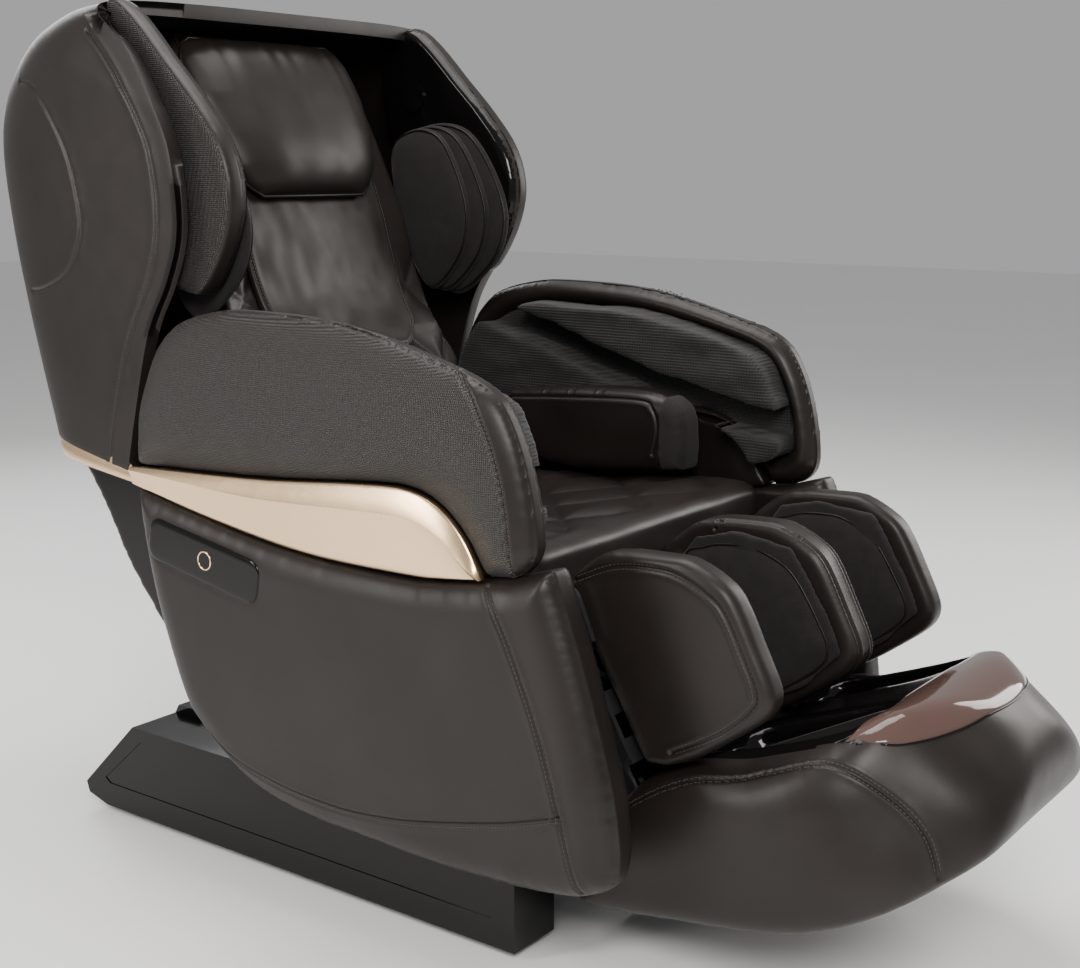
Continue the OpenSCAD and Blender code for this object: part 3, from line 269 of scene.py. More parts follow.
ESPRESSO = (0.0132, 0.0100, 0.0086)
MATERIALS = {
    "leather": leather("leather", ESPRESSO, 0.40),
    # leather_dark is the same leather at 0.62 of its colour. On the hood's inner shell it is painted shade.
    # The piping, hip pads and trim backing use it too.
    "leather_dark": leather("leather_dark", scaled(ESPRESSO, 0.62), 0.38),
    "leather_seat": leather("leather_seat", (0.0150, 0.0115, 0.0105), 0.36),
    "woven": woven_leather("woven_leather", (0.030, 0.026, 0.024)),
    "knit": knit("knit", (0.008, 0.0055, 0.006)),
    "perforated": perforated("perforated", (0.008, 0.007, 0.007)),
    "gloss": plastic("black_gloss", (0.0035, 0.003, 0.003), 0.10, 0.12),
    "visor": plastic("brown_gloss", (0.085, 0.050, 0.042), 0.07, 0.6),
    "plastic": plastic("black_plastic", (0.018, 0.017, 0.017), 0.45),
    "gold": metal("champagne", (0.94, 0.68, 0.42), 0.25, 0.02),
    "steel": metal("grey_steel", (0.19, 0.19, 0.20), 0.38),
    "rubber": rubber("rubber", (0.02, 0.02, 0.02)),
    "thread": leather("thread", (0.055, 0.048, 0.044), 0.6),
}
floor_shade = Shader("floor", (0.86, 0.86, 0.86), 0.5)
floor_shade.tint(floor_shade.noise(1.5, 2), [(0.3, (0.855, 0.855, 0.855)), (0.7, (0.87, 0.87, 0.87))])
floor_mesh.materials.append(floor_shade.mat)

RIGHT, LEFT = -1, 1
SIDES = ((RIGHT, "right"), (LEFT, "left"))


def both(*names):
    return [f"{name}_{side}" for name in names for _, side in SIDES]


NODE_LOOKS = {
    "leather": [*both("side_panel", "hip_pad"), "hood", "seat_cushion", "back_pad", "back_flap",
                "head_pillow", "calf_shell", "foot_shell"],
    "woven": both("armrest", "wing"),
    "knit": [*both("arm_lining", "shoulder_airbags"), "knee_flap", "calf_lining", "foot_liner"],
    "gloss": [*both("base_cover"), "base_rear_cover", "side_plates", "rear_cover", "speakers"],
    "visor": ["foot_visor"],
    "gold": [*both("side_trim"), "hood_trim"],
    "steel": ["base_frame", "tilt_actuator_tube", "tilt_actuator_rod", "seat_frame", "pivot_pins",
              "recline_actuator_tube", "recline_actuator_rod", "leg_actuator_tube", "leg_actuator_rod",
              "back_frame", "guide_rails", *both("knead_arm"), "leg_frame", "slide_tubes"],
    "rubber": [*both("upper_roller", "lower_roller"), "floor_pads", "transport_wheels", "sole_rollers"],
    "plastic": ["power_inlet", "power_switch", "control_box", "seat_pan", "air_pump", "carriage"],
}
for look_name, nodes in NODE_LOOKS.items():
    for node in nodes:
        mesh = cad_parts[node].data
        mesh.materials.clear()
        mesh.materials.append(MATERIALS[look_name])


# ------------------------------------------------------------------ mesh tools
MIDDLE = 241.0  # the frame's origin, in mm behind the front end of the base rails


def smooth_line(points, n=10, closed=False):
    """A Catmull-Rom line through given points, as an array with n steps between neighbours."""
    p = [np.array(q, float) for q in points]
    count = len(p) if closed else len(p) - 1
    out = []
    for i in range(count):
        if closed:
            a, b, c, d = (p[(i + k) % len(p)] for k in (-1, 0, 1, 2))
        else:
            a, b, c, d = p[max(i - 1, 0)], p[i], p[i + 1], p[min(i + 2, len(p) - 1)]
        for t in np.arange(n) / n:
            out.append(0.5 * (2 * b + (c - a) * t + (2 * a - 5 * b + 4 * c - d) * t * t
                              + (3 * b - a - 3 * c + d) * t ** 3))
    if not closed:
        out.append(p[-1])
    return np.array(out)


def lengths_along(line):
    """How far along a line each of its points lies."""
    return np.concatenate([[0], np.cumsum(np.linalg.norm(np.diff(line, axis=0), axis=1))])


def even_count(line, count):
    """The same line with a stated number of evenly spaced points."""
    line = np.asarray(line, float)
    run = lengths_along(line)
    want = np.linspace(0, run[-1], count)
    return np.stack([np.interp(want, run, line[:, k]) for k in range(line.shape[1])], 1)


def even_line(line, step):
    """The same line with points a fixed step apart."""
    return even_count(line, max(2, int(lengths_along(line)[-1] / step) + 1))


def side_view(points):
    """Side-view (y, z) points in the CAD source's millimetres, as metres in the frame."""
    p = np.array(points, float)
    return np.stack([(p[:, 0] - MIDDLE) * MM, p[:, 1] * MM], 1)


def shade_smooth(obj):
    obj.data.polygons.foreach_set("use_smooth", [True] * len(obj.data.polygons))


def give_materials(obj, names):
    for name in [names] if isinstance(names, str) else names:
        obj.data.materials.append(MATERIALS[name])


def new_object(name, mesh, body, materials):
    obj = bpy.data.objects.new(name, mesh)
    scene.collection.objects.link(obj)
    give_materials(obj, materials)
    shade_smooth(obj)
    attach(obj, body)
    return obj


@contextmanager
def opened(mesh):
    """The mesh as a bmesh, written back at the end."""
    bm = bmesh.new()
    bm.from_mesh(mesh)
    yield bm
    bm.to_mesh(mesh)
    bm.free()


def close_ends(mesh, turn_outward=True):
    """Fills a lofted piece's open ends and turns its faces outward."""
    with opened(mesh) as bm:
        bmesh.ops.holes_fill(bm, edges=bm.edges, sides=0)
        if turn_outward:
            bmesh.ops.recalc_face_normals(bm, faces=bm.faces)


def apply_modifiers(obj):
    graph = bpy.context.evaluated_depsgraph_get()
    mesh = bpy.data.meshes.new_from_object(obj.evaluated_get(graph))
    old = obj.data
    obj.modifiers.clear()
    obj.data = mesh
    bpy.data.meshes.remove(old)


def relax(obj, rounds):
    """Smooths a piece's mesh a number of times."""
    modifier = obj.modifiers.new("round", "SMOOTH")
    modifier.factor, modifier.iterations = 0.5, rounds
    apply_modifiers(obj)


def skin(name, node, body, materials, voxel=5.0, rounds=6, merged=()):
    """A soft copy of a CAD solid: evenly meshed, with its edges rounded by smoothing."""
    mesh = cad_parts[node].data.copy()
    if merged:
        with opened(mesh) as bm:
            for other in merged:
                bm.from_mesh(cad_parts[other].data)
    mesh.materials.clear()
    obj = new_object(name, mesh, body, ())
    remesh = obj.modifiers.new("even", "REMESH")
    remesh.mode, remesh.voxel_size = "VOXEL", voxel * MM
    relax(obj, rounds)
    give_materials(obj, materials)
    shade_smooth(obj)
    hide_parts(node)
    return obj


def get(obj):
    """Every vertex's place, as an array; put() writes it back."""
    out = np.zeros(len(obj.data.vertices) * 3)
    obj.data.vertices.foreach_get("co", out)
    return out.reshape(-1, 3)


def put(obj, co):
    obj.data.vertices.foreach_set("co", np.ascontiguousarray(co).ravel())
    obj.data.update()


def normals(obj):
    out = np.zeros(len(obj.data.vertices) * 3)
    obj.data.vertex_normals.foreach_get("vector", out)
    return out.reshape(-1, 3)


def tree_of(points):
    tree = kdtree.KDTree(len(points))
    for i, p in enumerate(points):
        tree.insert(p if len(p) == 3 else (*p, 0), i)
    tree.balance()
    return tree


def gaps_to(points, line, reach):
    """Distance from each point to a line of close points; far ones are given as twice the reach."""
    tree = tree_of(line)
    lo, hi = np.min(line, 0) - reach, np.max(line, 0) + reach
    near = np.all((points >= lo) & (points <= hi), axis=1)
    out = np.full(len(points), 2 * reach)
    for i in np.nonzero(near)[0]:
        out[i] = tree.find(points[i] if len(points[i]) == 3 else (*points[i], 0))[2]
    return out


def crown(obj, axis, radius, side=0, keep=0.3, band=0.45):
    """Rounds a slab-like piece over to its rim: side 1 or -1 rounds one face only, 0 both."""
    co, n = get(obj), normals(obj)
    lo, hi = co[:, axis].min(), co[:, axis].max()
    mid, half = (lo + hi) / 2, (hi - lo) / 2
    flat = [k for k in range(3) if k != axis]
    along = (co[:, axis] - mid) / half
    wall = np.abs(n[:, axis]) < 0.5
    wall &= (along * side > 1 - 2 * band) if side else (np.abs(along) < band)
    rim = co[wall][:, flat]
    if len(rim) == 0:
        return
    d = gaps_to(co[:, flat], rim, radius * MM)
    t = np.clip(d / (radius * MM), 0, 1)
    f = keep + (1 - keep) * np.sqrt(1 - (1 - t) ** 2)
    use = (along * side > 0) if side else np.ones(len(co), bool)
    co[use, axis] = mid + (co[use, axis] - mid) * f[use]
    put(obj, co)


def refine(obj, line, reach, times=2):
    """Splits the faces near a line, so that a seam can be cut into them."""
    for k in range(times):
        co = get(obj)
        r = reach * MM * (1.6 if k == 0 else 1)
        near = gaps_to(co, line, r) < r
        with opened(obj.data) as bm:
            edges = [e for e in bm.edges if near[e.verts[0].index] and near[e.verts[1].index]]
            bmesh.ops.subdivide_edges(bm, edges=edges, cuts=1, use_grid_fill=True)
    shade_smooth(obj)
    obj.data.update()


def cut_seam(obj, line, width=3.2, depth=2.4, swell=0.8):
    """Presses a seam line into a piece, with the leather swelling on both sides of it."""
    co, n = get(obj), normals(obj)
    w = width * MM
    d = gaps_to(co, line, 5 * w)
    press = -depth * np.exp(-((d / w) ** 2)) + swell * np.exp(-(((d - 2.4 * w) / (1.3 * w)) ** 2))
    press[d >= 5 * w] = 0
    put(obj, co + n * press[:, None] * MM)


def surface(obj):
    """A search tree of a piece's faces."""
    bm = bmesh.new()
    bm.from_mesh(obj.data)
    tree = BVHTree.FromBMesh(bm)
    bm.free()
    return tree


LAY_STEP = 1.5  # mm between the points of a line laid on a surface
OUTSIDE = 0.8  # metres from the middle plane, beyond every piece


def lay_side(obj, points, side):
    """Drops a side-view line onto a piece from its right or left; returns the points and normals there."""
    flat = smooth_line(side_view(points), 10)
    line = np.column_stack([np.zeros(len(flat)), flat])
    tree, inward = surface(obj), Vector((-side, 0, 0))
    out, up = [], []
    for p in even_line(line, LAY_STEP * MM):
        hit, n, _, _ = tree.ray_cast(Vector(p) - inward * OUTSIDE, inward)
        if hit is not None:
            out.append(hit)
            up.append(n)
    return np.array(out), np.array(up)


def lay_near(obj, points):
    """Snaps a line to the nearest part of a piece; returns the points and normals there."""
    tree = surface(obj)
    out, up = [], []
    for p in even_line(points, LAY_STEP * MM):
        hit, n, _, _ = tree.find_nearest(Vector(p))
        out.append(hit)
        up.append(n)
    return np.array(out), np.array(up)


STITCH_PITCH = 6.0
STITCH_LENGTH, STITCH_WIDTH, STITCH_HEIGHT = 4.4, 1.1, 0.7


def stitches(name, line, up, offset, body, lift=0.2):
    """A row of thread stitches along a line, moved sideways by offset on the surface."""
    run = lengths_along(line)
    verts, faces = [], []
    for at in np.arange(STITCH_PITCH * MM, run[-1] - STITCH_PITCH * MM, STITCH_PITCH * MM):
        i = int(np.searchsorted(run, at))
        p, n = line[i], up[i]
        t = line[min(i + 2, len(line) - 1)] - line[max(i - 2, 0)]
        gap = np.linalg.norm(t)
        if gap < 1e-9 or gap > 0.03:  # the line jumps there, so it gets no stitch
            continue
        t = t / gap
        s = np.cross(n, t)
        p = p + s * offset * MM + n * lift * MM
        base = len(verts)
        for k, (along, thick) in enumerate(((-0.5, 0.45), (-0.3, 1), (0.3, 1), (0.5, 0.45))):
            for a, b in ((-0.5, -1), (-0.5, 0.6), (0.5, 0.6), (0.5, -1)):
                across = s * a * STITCH_WIDTH * thick + n * b * STITCH_HEIGHT * thick
                verts.append(p + (t * along * STITCH_LENGTH + across) * MM)
            if k:
                for j in range(4):
                    o, q = base + 4 * (k - 1), (j + 1) % 4
                    faces.append((o + j, o + q, o + 4 + q, o + 4 + j))
        faces += [(base + 3, base + 2, base + 1, base), tuple(base + 12 + j for j in range(4))]
    mesh = bpy.data.meshes.new(name)
    mesh.from_pydata([tuple(v) for v in verts], [], faces)
    new_object(name, mesh, body, "thread")


def tube(name, line, radius, body, material, closed=False, sides=8):
    """A thin round bead, such as piping, along a line."""
    line = np.asarray(line)
    count = len(line)
    verts, faces = [], []
    for i, p in enumerate(line):
        a = line[(i - 1) % count] if closed else line[max(i - 1, 0)]
        b = line[(i + 1) % count] if closed else line[min(i + 1, count - 1)]
        t = (b - a) / max(np.linalg.norm(b - a), 1e-9)
        ref = np.array((0.3, 0.2, 1.0)) if abs(t[2]) < 0.8 else np.array((1.0, 0.1, 0.2))
        u = np.cross(t, ref)
        u /= np.linalg.norm(u)
        v = np.cross(t, u)
        for k in range(sides):
            g = 2 * math.pi * k / sides
            verts.append(p + (u * math.cos(g) + v * math.sin(g)) * radius * MM)
    for i in range(count if closed else count - 1):
        j = (i + 1) % count
        for k in range(sides):
            q = (k + 1) % sides
            faces.append((i * sides + k, i * sides + q, j * sides + q, j * sides + k))
    if not closed:
        faces += [tuple(range(sides - 1, -1, -1)), tuple((count - 1) * sides + k for k in range(sides))]
    mesh = bpy.data.meshes.new(name)
    mesh.from_pydata([tuple(v) for v in verts], [], faces)
    with opened(mesh) as bm:
        bmesh.ops.recalc_face_normals(bm, faces=bm.faces)
    new_object(name, mesh, body, material)


SEAM_GAP = 3.4  # mm from a seam to its stitches


def seam(obj, line, up, body, name, double=True, width=3.0, depth=2.4):
    """A sewn seam: a groove, with one row of stitches on each side or on one side."""
    refine(obj, line, 3.2 * width)
    cut_seam(obj, line, width, depth)
    for k, offset in enumerate((SEAM_GAP, -SEAM_GAP) if double else (SEAM_GAP,)):
        stitches(f"{name}_thread_{k}", line, up, offset, body, lift=-0.5)


def ripple(obj, scale, height, seed=0.0, mask=None, stretch=(1, 1, 1)):
    """Uneven swelling, as of leather or cloth over foam."""
    co, n = get(obj), normals(obj)
    k = np.array(stretch) * scale
    amount = np.array([noise.noise(Vector(p * k) + Vector((seed, seed * 0.7, -seed))) for p in co])
    if mask is not None:
        amount = amount * mask(co)
    put(obj, co + n * (amount * height * MM)[:, None])


def paint(obj, choose):
    """Gives each face a material index from its centre and normal."""
    count = len(obj.data.polygons)
    c, n = np.zeros(count * 3), np.zeros(count * 3)
    obj.data.polygons.foreach_get("center", c)
    obj.data.polygons.foreach_get("normal", n)
    index = np.asarray(choose(c.reshape(-1, 3), n.reshape(-1, 3)), dtype=np.int32)
    obj.data.polygons.foreach_set("material_index", index)
    obj.data.update()


def left_of(points, line):
    """True for the 2-D points that lie to the left of a line as it runs."""
    line = np.asarray(line)
    out = np.zeros(len(points), bool)
    tree = tree_of(line)
    for i, p in enumerate(points):
        k = tree.find((*p, 0))[1]
        a, b = line[max(k - 1, 0)], line[min(k + 1, len(line) - 1)]
        out[i] = (b[0] - a[0]) * (p[1] - a[1]) - (b[1] - a[1]) * (p[0] - a[0]) > 0
    return out


def grid(name, rows, body, materials, close_columns=False):
    """A surface through rows of points; closed columns join each row's last point to its first."""
    rows = np.asarray(rows)
    r, c = rows.shape[:2]
    faces = []
    for i in range(r - 1):
        for j in range(c if close_columns else c - 1):
            b = (j + 1) % c
            faces.append((i * c + j, i * c + b, (i + 1) * c + b, (i + 1) * c + j))
    mesh = bpy.data.meshes.new(name)
    mesh.from_pydata([tuple(v) for v in rows.reshape(-1, 3)], [], faces)
    with opened(mesh) as bm:
        bmesh.ops.remove_doubles(bm, verts=bm.verts, dist=1e-5)
        bmesh.ops.recalc_face_normals(bm, faces=bm.faces)
    return new_object(name, mesh, body, materials)


def leaning(angle, at):
    """A leaning part's axes: x, q to the rear and p up its slope, in mm from a point of the side view.

    Returns a function from (x, q, p) to a point of the frame, and one from an array of points back to them.
    """
    c, s = math.cos(angle), math.sin(angle)

    def place(x, q, p):
        return np.array((x * MM, (at[0] + q * c + p * s - MIDDLE) * MM, (at[1] - q * s + p * c) * MM))

    def axes(co):
        y, z = co[:, 1] / MM + MIDDLE - at[0], co[:, 2] / MM - at[1]
        return np.stack([co[:, 0] / MM, y * c - z * s, y * s + z * c], 1)

    return place, axes


on_back, back_axes = leaning(math.radians(26), (540.0, 640.0))
on_leg, leg_axes = leaning(math.radians(30), (-60.0, 505.0))

# how a leaf-shaped pad swells from its back to the middle of its face: (share of outline, share of height)
LEAF_RINGS = ((0.03, 0.0), (0.5, 0.0), (0.97, 0.0), (1.0, 0.12), (1.008, 0.3), (1.0, 0.5), (0.98, 0.66),
              (0.945, 0.79), (0.9, 0.87), (0.82, 0.935), (0.72, 0.97), (0.58, 0.99), (0.4, 1.0), (0.22, 1.0),
              (0.03, 1.0))
LEAF_WAVE, LEAF_PIPING = 1.6, 2.0


def leaf_pad(name, outline, place, base, top, body, dome, seed):
    """A flat knitted pad with a domed face and piping; place(u, v, h) puts a point of it into the chair."""
    loop = even_line(smooth_line(outline, 8, closed=True), 4.0)
    centre = loop.mean(axis=0)
    way = 1 if top > base else -1
    rows = []
    for shrink, rise in LEAF_RINGS:
        ring = []
        for q in loop:
            u, v = centre + (q - centre) * shrink
            h = base + (top - base) * rise + way * dome * max(0.0, 1 - shrink ** 2) * (rise > 0.5)
            if rise > 0.6:
                h += LEAF_WAVE * noise.noise(Vector((u * 0.02, v * 0.02, seed)))
            ring.append(place(u, v, h))
        rows.append(ring)
    pad = grid(name, rows, body, "knit", close_columns=True)
    close_ends(pad.data)
    shade_smooth(pad)
    line = [place(*(centre + (q - centre) * 0.975), base + (top - base) * 0.72) for q in loop]
    tube(name + "_piping", line, LEAF_PIPING, body, "leather_dark", closed=True)
    return pad


def bevel(obj, width, segments, angle):
    """Rounds the edges of a piece that are sharper than an angle."""
    modifier = obj.modifiers.new("edge", "BEVEL")
    modifier.width, modifier.segments = width * MM, segments
    modifier.limit_method, modifier.angle_limit = "ANGLE", math.radians(angle)


for node in both("base_cover") + ["base_rear_cover"]:
    bevel(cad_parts[node], 3.0, 3, 35)
for node in ("seat_frame", "back_frame", "leg_frame", "base_frame", "control_box", "air_pump", "carriage"):
    bevel(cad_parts[node], 1.0, 2, 35)

# ------------------------------------------------------------------ side panels
FRONT_SEAM = [(-16, 540), (-45, 493), (-76, 430), (-106, 358), (-131, 274), (-146, 206), (-152, 168)]
PANEL_TUCK = 16  # how far the outer face turns in at its foot
LOW_SEAM = [(-134, 268), (-44, 237), (73, 207), (160, 190), (254, 182), (371, 191), (470, 216), (540, 262)]
for s, side in SIDES:
    name = f"side_panel_{side}"
    obj = skin(f"{name}_leather", name, "chair", ["leather", "leather_dark"], 5.0, 6)
    crown(obj, 0, 46, s, 0.30)
    co = get(obj)
    tuck = PANEL_TUCK * np.clip((300 - co[:, 2] / MM) / 160, 0, 1) ** 2
    outer = np.clip((co[:, 0] * s / MM - 335) / 40, 0, 1)
    co[:, 0] -= s * tuck * outer * MM
    put(obj, co)
    ripple(obj, 7, 1.6, 3.0 + s)
    line, up = lay_side(obj, FRONT_SEAM, s)
    seam(obj, line, up, "chair", f"{name}_front_seam")
    line, up = lay_side(obj, LOW_SEAM, s)
    seam(obj, line, up, "chair", f"{name}_low_seam", double=False, width=3.4, depth=3.0)

# ------------------------------------------------------------------ armrests
ARM_SEAM = [(229, 848), (110, 826), (30, 799), (-16, 738), (-42, 668), (-53, 596), (-52, 560)]
for s, side in SIDES:
    name = f"armrest_{side}"
    obj = skin(f"{name}_leather", name, "chair", ["woven", "leather"], 5.0, 6)
    crown(obj, 0, 70, s, 0.42, 0.2)
    crown(obj, 0, 36, -s, 0.3, 0.2)
    ripple(obj, 9, 1.2, 5.0)
    seam_line = smooth_line(side_view(ARM_SEAM), 12)
    line, up = lay_side(obj, ARM_SEAM, s)
    seam(obj, line, up, "chair", f"{name}_front_seam")

    def band(c, n, s=s, seam_line=seam_line):
        """Plain leather in front of the seam and on the inner face, woven elsewhere."""
        ahead = left_of(c[:, 1:], seam_line[::-1]) & (c[:, 1] < seam_line[:, 0].max())
        return (ahead | (c[:, 0] * s < 362 * MM)).astype(int)

    paint(obj, band)

# ------------------------------------------------------------------ forearm airbags
for s, side in SIDES:
    name = f"arm_lining_{side}"
    obj = skin(f"{name}_fabric", name, "chair", "perforated", 5.0, 10)
    ripple(obj, 16, 6.0, 1.0, stretch=(1, 0.6, 1.6))
    ripple(obj, 45, 1.8, 4.0)

# ------------------------------------------------------------------ metal trim
TRIM_LOW = [(-11, 549), (50, 540), (120, 535), (297, 537), (480, 560), (648, 591)]
TRIM_FOLD = [(-11, 549), (20, 568), (55, 595), (110, 612), (200, 610), (389, 603), (520, 608), (648, 613)]
TRIM_HIGH = [(-11, 549), (20, 598), (60, 632), (114, 648), (201, 645), (389, 629), (648, 618)]
TRIM_STEPS = 90
trim_lines = [even_count(smooth_line(side_view(p), 12), TRIM_STEPS) for p in (TRIM_LOW, TRIM_FOLD, TRIM_HIGH)]
for s, side in SIDES:
    rows = []
    for a, b, c in zip(*trim_lines):
        section = [(a, 386), (a + (b - a) * 0.02, 391.5)]
        section += [(a + (b - a) * t, 392 + 7.0 * t ** 1.5) for t in (0.12, 0.3, 0.5, 0.7, 0.86, 0.95)]
        section += [(b, 399.6), (b + (c - b) * 0.06, 399.4)]
        section += [(b + (c - b) * t, 399.2 - 6.5 * t ** 1.6) for t in (0.25, 0.45, 0.65, 0.85, 0.96)]
        section += [(c, 391), (c, 386)]
        rows.append([(s * x * MM, q[0], q[1]) for q, x in section])
    obj = grid(f"side_trim_{side}_metal", rows, "chair", "gold")
    name = f"side_trim_{side}"
    inner = skin(f"{name}_back", name, "chair", "leather_dark", 6.0, 2)
    co = get(inner)
    co[:, 0] = s * np.minimum(co[:, 0] * s, 0.3885)
    put(inner, co)
    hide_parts(name)


# ------------------------------------------------------------------ name plates, left plain
def plate_points(size, r):
    """The outline of a plate with round corners."""
    out = []
    for cx, cy, start in ((1, 1, 0), (-1, 1, 90), (-1, -1, 180), (1, -1, 270)):
        for k in range(9):
            a = math.radians(start + 90 * k / 8)
            out.append((cx * (size[0] / 2 - r) + r * math.cos(a), cy * (size[1] / 2 - r) + r * math.sin(a)))
    return out


PLATE_AT, PLATE_SLOPE = (495, 500), math.radians(10)
PLATE_WIDE, PLATE_HIGH, PLATE_CORNER = 230, 64, 20
RING_RADIUS = 13
for s, side in SIDES:
    rows = []
    for shrink, x in ((0, 396.5), (0, 398.8), (1.2, 400.2), (3.0, 400.6), (10, 400.7), (24, 400.8)):
        ring = []
        size = (PLATE_WIDE - 2 * shrink, PLATE_HIGH - 2 * shrink)
        for u, v in plate_points(size, max(PLATE_CORNER - shrink, 2)):
            y = PLATE_AT[0] + u * math.cos(PLATE_SLOPE) - v * math.sin(PLATE_SLOPE)
            z = PLATE_AT[1] + u * math.sin(PLATE_SLOPE) + v * math.cos(PLATE_SLOPE)
            ring.append((s * (x - 1.5) * MM, (y - MIDDLE) * MM, z * MM))
        rows.append(ring)
    plate = grid(f"name_plate_{side}", rows, "chair", "gloss", close_columns=True)
    close_ends(plate.data)
    ring = []
    for k in range(48):
        a = 2 * math.pi * k / 48
        y, z = PLATE_AT[0] - 6 + RING_RADIUS * math.cos(a), PLATE_AT[1] + RING_RADIUS * math.sin(a)
        ring.append((s * 399.6 * MM, (y - MIDDLE) * MM, z * MM))
    tube(f"name_plate_ring_{side}", ring, 1.3, "chair", "gold", closed=True)
    if s == RIGHT:  # both plates are one node in the frame
        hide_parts("side_plates")

# ------------------------------------------------------------------ hood
HOOD_EDGE = [(672, 607), (650, 690), (612, 812), (566, 890), (540, 963), (547, 1060), (572, 1122),
             (612, 1180), (656, 1228), (704, 1260)]
HOOD_SPINE = [(905, 650), (950, 760), (985, 857), (1022, 975), (1041, 1090), (1018, 1180), (950, 1249),
              (840, 1288), (716, 1291)]
HOOD_ROWS, AROUND = 90, 150
HOOD_POWER = 6.0  # the section's squareness at its foot: 2 would be an ellipse
HOOD_WALL = 21


def hood_point(edge, spine, half, a, power):
    """A point of the hood's section: a is 0 at the left edge, pi/2 on the spine and pi at the right edge."""
    c, s = math.cos(a), math.sin(a)
    x = half * math.copysign(abs(c) ** (2 / power), c)
    t = max(s, 0) ** (2 / power)
    y, z = edge + (spine - edge) * t
    return (x * MM, y, z)


edge_line = even_count(smooth_line(side_view(HOOD_EDGE), 12), HOOD_ROWS)
spine_line = even_count(smooth_line(side_view(HOOD_SPINE), 12), HOOD_ROWS)
rows = []
for i, (edge, spine) in enumerate(zip(edge_line, spine_line)):
    f = i / (HOOD_ROWS - 1)
    power = HOOD_POWER - 1.6 * max(0.0, f - 0.55) / 0.45
    half = 380 - 16 * max(0.0, f - 0.75) / 0.25
    raw = [hood_point(edge, spine, half, math.pi * k / 400, power) for k in range(401)]
    rows.append(even_count(raw, AROUND + 1))
hood = grid("hood_leather", rows, "backrest", ["leather", "leather_dark"])
# The wall's inner shell gets leather_dark: painted shade inside the hood.
thick = hood.modifiers.new("wall", "SOLIDIFY")
thick.thickness, thick.offset, thick.material_offset = HOOD_WALL * MM, -1, 1
apply_modifiers(hood)
bevel(hood, 7, 4, 50)
apply_modifiers(hood)
shade_smooth(hood)
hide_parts("hood")
ripple(hood, 5, 1.5, 8.0)
BAND_SEAM = [(712, 612), (694, 690), (656, 800), (610, 882), (582, 963), (588, 1058), (614, 1118),
             (652, 1172), (694, 1216), (724, 1240)]
BOAT_SEAM = [(903, 1176), (850, 1160), (785, 1085), (757, 1010), (754, 950), (790, 895), (850, 868),
             (892, 862)]
for s, side in SIDES:
    line, up = lay_side(hood, BAND_SEAM, s)
    seam(hood, line, up, "backrest", f"hood_band_seam_{side}", width=3.0, depth=2.2)
    line, up = lay_side(hood, BOAT_SEAM, s)
    seam(hood, line, up, "backrest", f"hood_side_seam_{side}", double=False, width=2.6, depth=2.4)
# metal band round the foot of the hood: (share of its height, how far it stands out)
BELT_SECTION = ((0.0, -3.0), (0.0, 0.4), (0.12, 1.2), (0.45, 1.6), (0.52, 1.0), (0.88, 0.2), (1.0, -0.5),
                (1.0, -6.0))
BELT_HALF = 379
edge_high, edge_low, spine_high, spine_low = side_view([(664, 616), (664, 590), (905, 654), (896, 618)])
rows = []
for t, out in BELT_SECTION:
    edge = edge_low + (edge_high - edge_low) * t
    spine = spine_low + (spine_high - spine_low) * t + np.array((out * MM, 0))
    turns = (math.pi * k / AROUND for k in range(AROUND + 1))
    rows.append([hood_point(edge, spine, BELT_HALF + out, a, HOOD_POWER) for a in turns])
belt = grid("hood_trim_metal", rows, "backrest", "gold")
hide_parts("hood_trim")

# ------------------------------------------------------------------ head wings
for s, side in SIDES:
    name = f"wing_{side}"
    looks = ["woven", "leather", "gloss"]
    obj = skin(f"{name}_shell", name, "backrest", looks, 4.0, 8)
    crown(obj, 0, 14, s, 0.6, 0.25)
    crown(obj, 0, 12, -s, 0.6, 0.25)

    def wing_faces(c, n, s=s):
        """Gloss on the inner face, leather round the rim, woven on the outer face."""
        inward = n[:, 0] * s < -0.35
        rim = np.abs(n[:, 0]) < 0.86
        return np.where(inward, 2, np.where(rim, 1, 0))

    paint(obj, wing_faces)

# ------------------------------------------------------------------ shoulder airbags
SHOULDER_LEAF = [(715, 1076), (656, 1119), (566, 1109), (501, 1027), (482, 951), (516, 880), (603, 832),
                 (683, 938)]
LEAF_REAR, LEAF_MIDDLE = 715, 975  # the point that the smaller leaves shrink towards
LEAF_THICK = 14
for s, side in SIDES:

    def beside_head(u, v, h, s=s):
        return s * h * MM, (u - MIDDLE) * MM, v * MM

    for k in range(3):
        deep, high = 1 - 0.13 * k, 1 - 0.03 * k
        outline = [(LEAF_REAR - (LEAF_REAR - y) * deep, LEAF_MIDDLE + (z - LEAF_MIDDLE) * high)
                   for y, z in SHOULDER_LEAF]
        base, top = 301 - LEAF_THICK * k, 286 - LEAF_THICK * k
        dome = 10 if k == 2 else 5
        name = f"shoulder_pad_{side}_{k + 1}"
        pad = leaf_pad(name, outline, beside_head, base, top, "backrest", dome, k + 3 * s)
        if k == 0:
            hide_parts(f"shoulder_airbags_{side}")

# ------------------------------------------------------------------ backrest pad, with a quilted lower part
obj = skin("back_pad_leather", "back_pad", "backrest", "leather_seat", 5.0, 8)
crown(obj, 0, 40, 0, 0.9, 0.25)
co, n = get(obj), normals(obj)
local = back_axes(co)
face = np.clip((n @ -np.array(on_back(0, 1, 0) - on_back(0, 0, 0)) / MM - 0.3) / 0.4, 0, 1)


